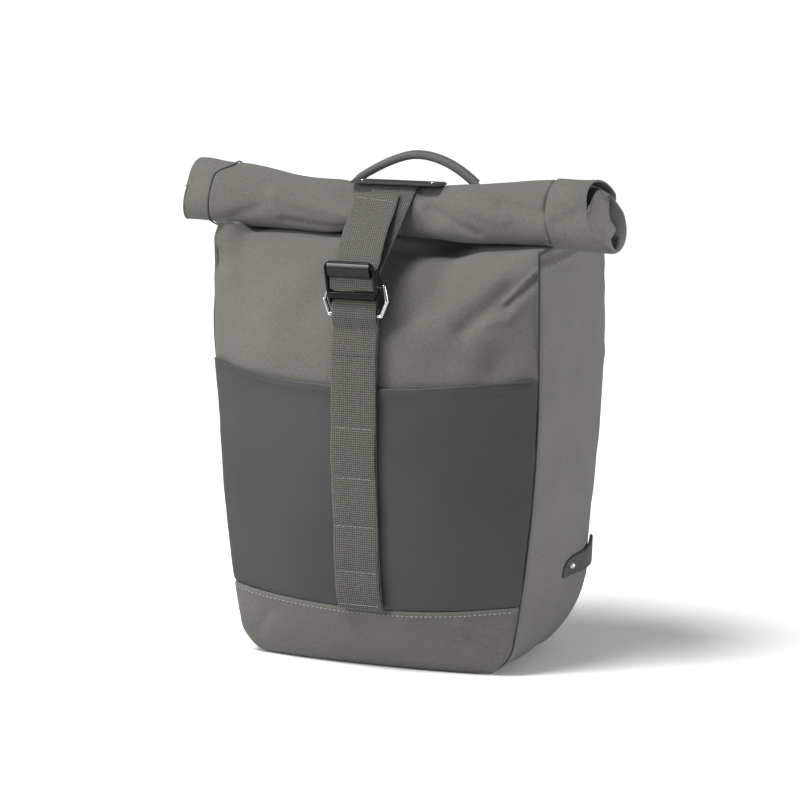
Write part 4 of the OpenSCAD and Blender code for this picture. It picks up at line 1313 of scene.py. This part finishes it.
def build_handle():
    """Folded webbing in an arch, fuller on the right, with a stitched bead along its rear edge."""
    x = np.linspace(-HANDLE_HALF_W, HANDLE_HALF_W, 240)
    arch = 1 - (np.abs(x) / HANDLE_HALF_W) ** np.where(x < 0, 1.5, 2.1)
    z = HANDLE_Z + 0.0005 + HANDLE_RISE * arch
    ends = np.array([[-0.0660, HANDLE_Z - 0.013], [-0.0610, HANDLE_Z - 0.006]])
    right = ends[::-1] * np.array([-1, 1])
    xz = resample(np.concatenate([ends, np.stack([x, z], -1), right]), 0.0007)
    for _ in range(90):
        xz[1:-1] = (xz[:-2] + 2 * xz[1:-1] + xz[2:]) / 4
    path = np.insert(xz, 1, HANDLE_Y, axis=1)
    section = oval_section(0.0031, 0.0042, 2.4, 36) + np.array([-0.0004, 0.0])
    obj = tube("handle_band", path, section, MAT["handle"], "handle", UPRIGHT)
    stands_for(obj, "webbing", "carry_handle")
    outward = np.insert(left_normals(xz), 1, 0.0, axis=1)
    inner = np.abs(path[:, 0]) < BEAD_HALF_W
    edge = path + outward * 0.0024
    bead = (edge + np.array([0, 0.0030, 0]))[inner]
    obj = tube("handle_bead", bead, circle_section(BEAD_R, 14), MAT["handle"], "handle", UPRIGHT)
    stands_for(obj, "webbing")
    line = (edge + np.array([0, 0.0006, 0]))[inner]
    stitch_row("handle_stitches", line, outward[inner], MAT["dark_thread"], HANDLE_STITCH, "handle")


# ---- Buckle ----

FRAME_HALF_W = 0.0226
FRAME_CORNER_R = 0.0055
FRAME_WIRE = 0.0012


def rounded_loop(half_x, half_y, r):
    """Points of a closed rounded rectangle in 2D."""
    points = []
    for cx, cy, first in ((1, 1, 0), (-1, 1, 90), (-1, -1, 180), (1, -1, 270)):
        a = np.radians(np.linspace(first, first + 90, 12))
        corner = np.array([cx * (half_x - r), cy * (half_y - r)])
        points.append(corner + r * np.stack([np.cos(a), np.sin(a)], -1))
    points.append(points[0][:1])
    return resample(np.concatenate(points), 0.0006)[:-1]


# The ring's upper bar sits in a slot that opens backwards and down
CATCH = np.array([-0.1185, 0.3240])
SLOT_HALF = 0.00225
SLOT_DROP = math.radians(48)


def plate_outline():
    """Side plate behind the frame, with the open slot that hooks over the ring."""
    along = np.array([math.cos(SLOT_DROP), -math.sin(SLOT_DROP)])
    over = np.array([math.sin(SLOT_DROP), math.cos(SLOT_DROP)])
    turn = np.linspace(0, math.pi, 12)
    slot = [CATCH + SLOT_HALF * (math.cos(a) * over - math.sin(a) * along) for a in turn]
    upper = CATCH + SLOT_HALF * over + 0.0047 * along
    lower = CATCH - SLOT_HALF * over + 0.0118 * along
    top = [(-0.1288, 0.3385), (-0.1262, 0.3388), (-0.1160, 0.3285)]
    hook = [(-0.1105, 0.3100), (-0.1112, 0.3066), (-0.1140, 0.3052), (-0.1200, 0.3056), (-0.1248, 0.3125)]
    return np.array([*top, upper, *slot, lower, *hook])


def build_side_plates():
    """Side plates that hook the ring."""
    outline = plate_outline()
    for side, name in SIDES:
        x = sorted((side * 0.0205, side * 0.0223))
        verts = np.concatenate([np.insert(outline, 0, at, axis=1) for at in x])
        faces = ring_faces(2, len(outline))
        obj = new_object(name + "_buckle_plate", verts, faces, None, MAT["black_metal"], "buckle", 40)
        face_outward(obj)
        ease_edges(obj, 0.0003, 30)
        stands_for(obj, "buckle_metal")


def build_buckle_frame():
    """Rounded wire frame on the front of the hook buckle."""
    low, high = LOW_BAR - BUCKLE_UP * 0.0026, TOP_BAR + BUCKLE_UP * 0.0030
    centre, half_h = (low + high) / 2 + BUCKLE_OUT * 0.0012, np.linalg.norm(high - low) / 2
    loop = rounded_loop(FRAME_HALF_W - FRAME_WIRE, half_h - FRAME_WIRE, FRAME_CORNER_R)
    tangent = unit(np.roll(loop, -1, 0) - np.roll(loop, 1, 0))
    normal = np.stack([tangent[:, 1], -tangent[:, 0]], -1)
    section = oval_section(FRAME_WIRE, 0.0017, 2.6, 24)
    flat = loop[:, None] + normal[:, None] * section[:, :1]
    yz = centre + BUCKLE_UP * flat[..., 1:] + BUCKLE_OUT * section[:, 1:]
    verts = np.concatenate([flat[..., :1], yz], -1).reshape(-1, 3)
    idx = np.arange(len(verts)).reshape(len(loop), len(section))
    nxt = np.roll(idx, -1, 1)
    faces = np.stack([idx, nxt, np.roll(nxt, -1, 0), np.roll(idx, -1, 0)], -1).reshape(-1, 4)
    obj = new_object("buckle_frame", verts, faces.tolist(), None, MAT["black_metal"], "buckle", 60)
    face_outward(obj, (0, *centre))
    stands_for(obj, "buckle_metal", "hook_buckle")


TOP_ROLLER_AT = TOP_BAR - BUCKLE_UP * 0.0042 + BUCKLE_OUT * 0.0014
LOW_BAR_AT = LOW_BAR + BUCKLE_UP * 0.0004 + BUCKLE_OUT * 0.0006
# Name, place, half height, half thickness, squareness, half length and material of each bar
BUCKLE_BARS = (
    ("top_bar", TOP_ROLLER_AT, 0.0064, 0.0035, 2.0, 0.0186, "roller"),
    ("low_bar", LOW_BAR_AT, 0.0030, 0.0028, 2.8, 0.0205, "black_metal"),
    ("strap_bar", BAR, 0.0021, 0.0021, 2.0, 0.0208, "black_metal"),
)


def build_buckle_bars():
    """Bars across the frame: a roller at the top, a flat bar at the foot, and the strap's bar."""
    for name, at, half_tall, half_thick, power, reach, look in BUCKLE_BARS:
        path = cross_row(np.linspace(-reach, reach, 9), at)
        section = oval_section(half_tall, half_thick, power, 40)
        bar = tube("buckle_" + name, path, section, MAT[look], "buckle", (0, *BUCKLE_UP))
        stands_for(bar, "buckle_metal")


# Material of each finish, for the CAD parts that are shown as they are
CAD_LOOKS = {
    "buckle_metal": "black_metal",
    "ring_metal": "chrome",
    "rack_plastic": "plastic",
    "insert_rubber": "rubber",
    "steel": "steel",
    "board": "board",
    "rivet": "chrome",
    "webbing": "webbing",
}


def build_hardware():
    """CAD parts that are shown as they are, with rounded edges and their own materials."""
    replaced = {n for o in bpy.data.objects for n in o.get("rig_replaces", [])}
    for node, obj in frame["nodes"].items():
        if node in replaced:
            continue
        finish = obj.data.materials[0].name.split(".")[0]
        obj.data.materials.clear()
        obj.data.materials.append(MAT[CAD_LOOKS[finish]])
        ease_edges(obj, 0.0004, 40)


# ---- Stage, camera and light ----

WORLD_LIGHT = 0.20
WORLD_SEEN = 1.4
FLOOR_BOUNCE = 0.72
FLOOR_SEEN = 1.3
# The camera stands this far round to the right of the front, and this far up
CAMERA_AZIMUTH = math.radians(24.0)
CAMERA_ELEVATION = math.radians(9.07)
CAMERA_DISTANCE = 2.978
CAMERA_TARGET = Vector((-0.0136, 0.0, 0.2115))
CAMERA_LENS = 157.5
LIGHT_TARGET = Vector((0, 0, 0.2))


def build_stage():
    bpy.ops.mesh.primitive_plane_add(size=24, location=(0, 0, -0.0004))
    floor = bpy.context.object
    floor.name = "floor"
    s = Shader("pale_floor", 0.7)
    s.link(s.seen_by_camera(FLOOR_BOUNCE, FLOOR_SEEN), "Base Color")
    floor.data.materials.append(s.material)


def build_world():
    world = bpy.data.worlds.new("studio")
    bpy.context.scene.world = world
    world.use_nodes = True
    tree = world.node_tree
    background = tree.nodes["Background"]
    background.inputs["Color"].default_value = (1.0, 1.0, 1.0, 1)
    seen = tree.nodes.new("ShaderNodeLightPath")
    level = tree.nodes.new("ShaderNodeMapRange")
    level.inputs["To Min"].default_value = WORLD_LIGHT
    level.inputs["To Max"].default_value = WORLD_SEEN
    tree.links.new(seen.outputs["Is Camera Ray"], level.inputs["Value"])
    tree.links.new(level.outputs[0], background.inputs["Strength"])


def aim(obj, direction):
    obj.rotation_euler = direction.to_track_quat("-Z", "Y").to_euler()


def sun_light(name, direction, strength, angle):
    data = bpy.data.lights.new(name, "SUN")
    data.energy = strength
    data.angle = math.radians(angle)
    aim(in_scene(name, data), Vector(direction))


def area_light(name, at, size, power):
    data = bpy.data.lights.new(name, "AREA")
    data.shape = "RECTANGLE"
    data.size, data.size_y = size
    data.energy = power
    obj = in_scene(name, data)
    obj.location = at
    aim(obj, LIGHT_TARGET - Vector(at))


def build_camera():
    level = math.cos(CAMERA_ELEVATION)
    east, north = math.sin(CAMERA_AZIMUTH) * level, -math.cos(CAMERA_AZIMUTH) * level
    back = Vector((east, north, math.sin(CAMERA_ELEVATION)))
    data = bpy.data.cameras.new("camera")
    data.lens = CAMERA_LENS
    data.sensor_width = 36
    obj = in_scene("camera", data)
    obj.location = CAMERA_TARGET + back * CAMERA_DISTANCE
    aim(obj, -back)
    bpy.context.scene.camera = obj


build_front()
build_pocket()
build_band()
build_gussets()
build_rear()
build_base()
build_neck()
build_piping()
build_front_stitches()
build_daisy_webbing()
build_closure_strap()
build_roll()
build_cuff_seam()
build_roll_core()
build_plate()
build_tabs()
build_handle_loops()
build_handle()
build_buckle_frame()
build_buckle_bars()
build_side_plates()
build_hardware()
build_stage()
build_world()
build_camera()
sun_light("sky", (0.30, 0.38, -1.0), 2.5, 26)
area_light("key", (-1.0, -1.1, 0.75), (0.5, 0.5), 9)
area_light("fill", (2.3, 0.75, 0.35), (1.2, 1.4), 36)
bpy.context.scene.view_settings.view_transform = "Standard"
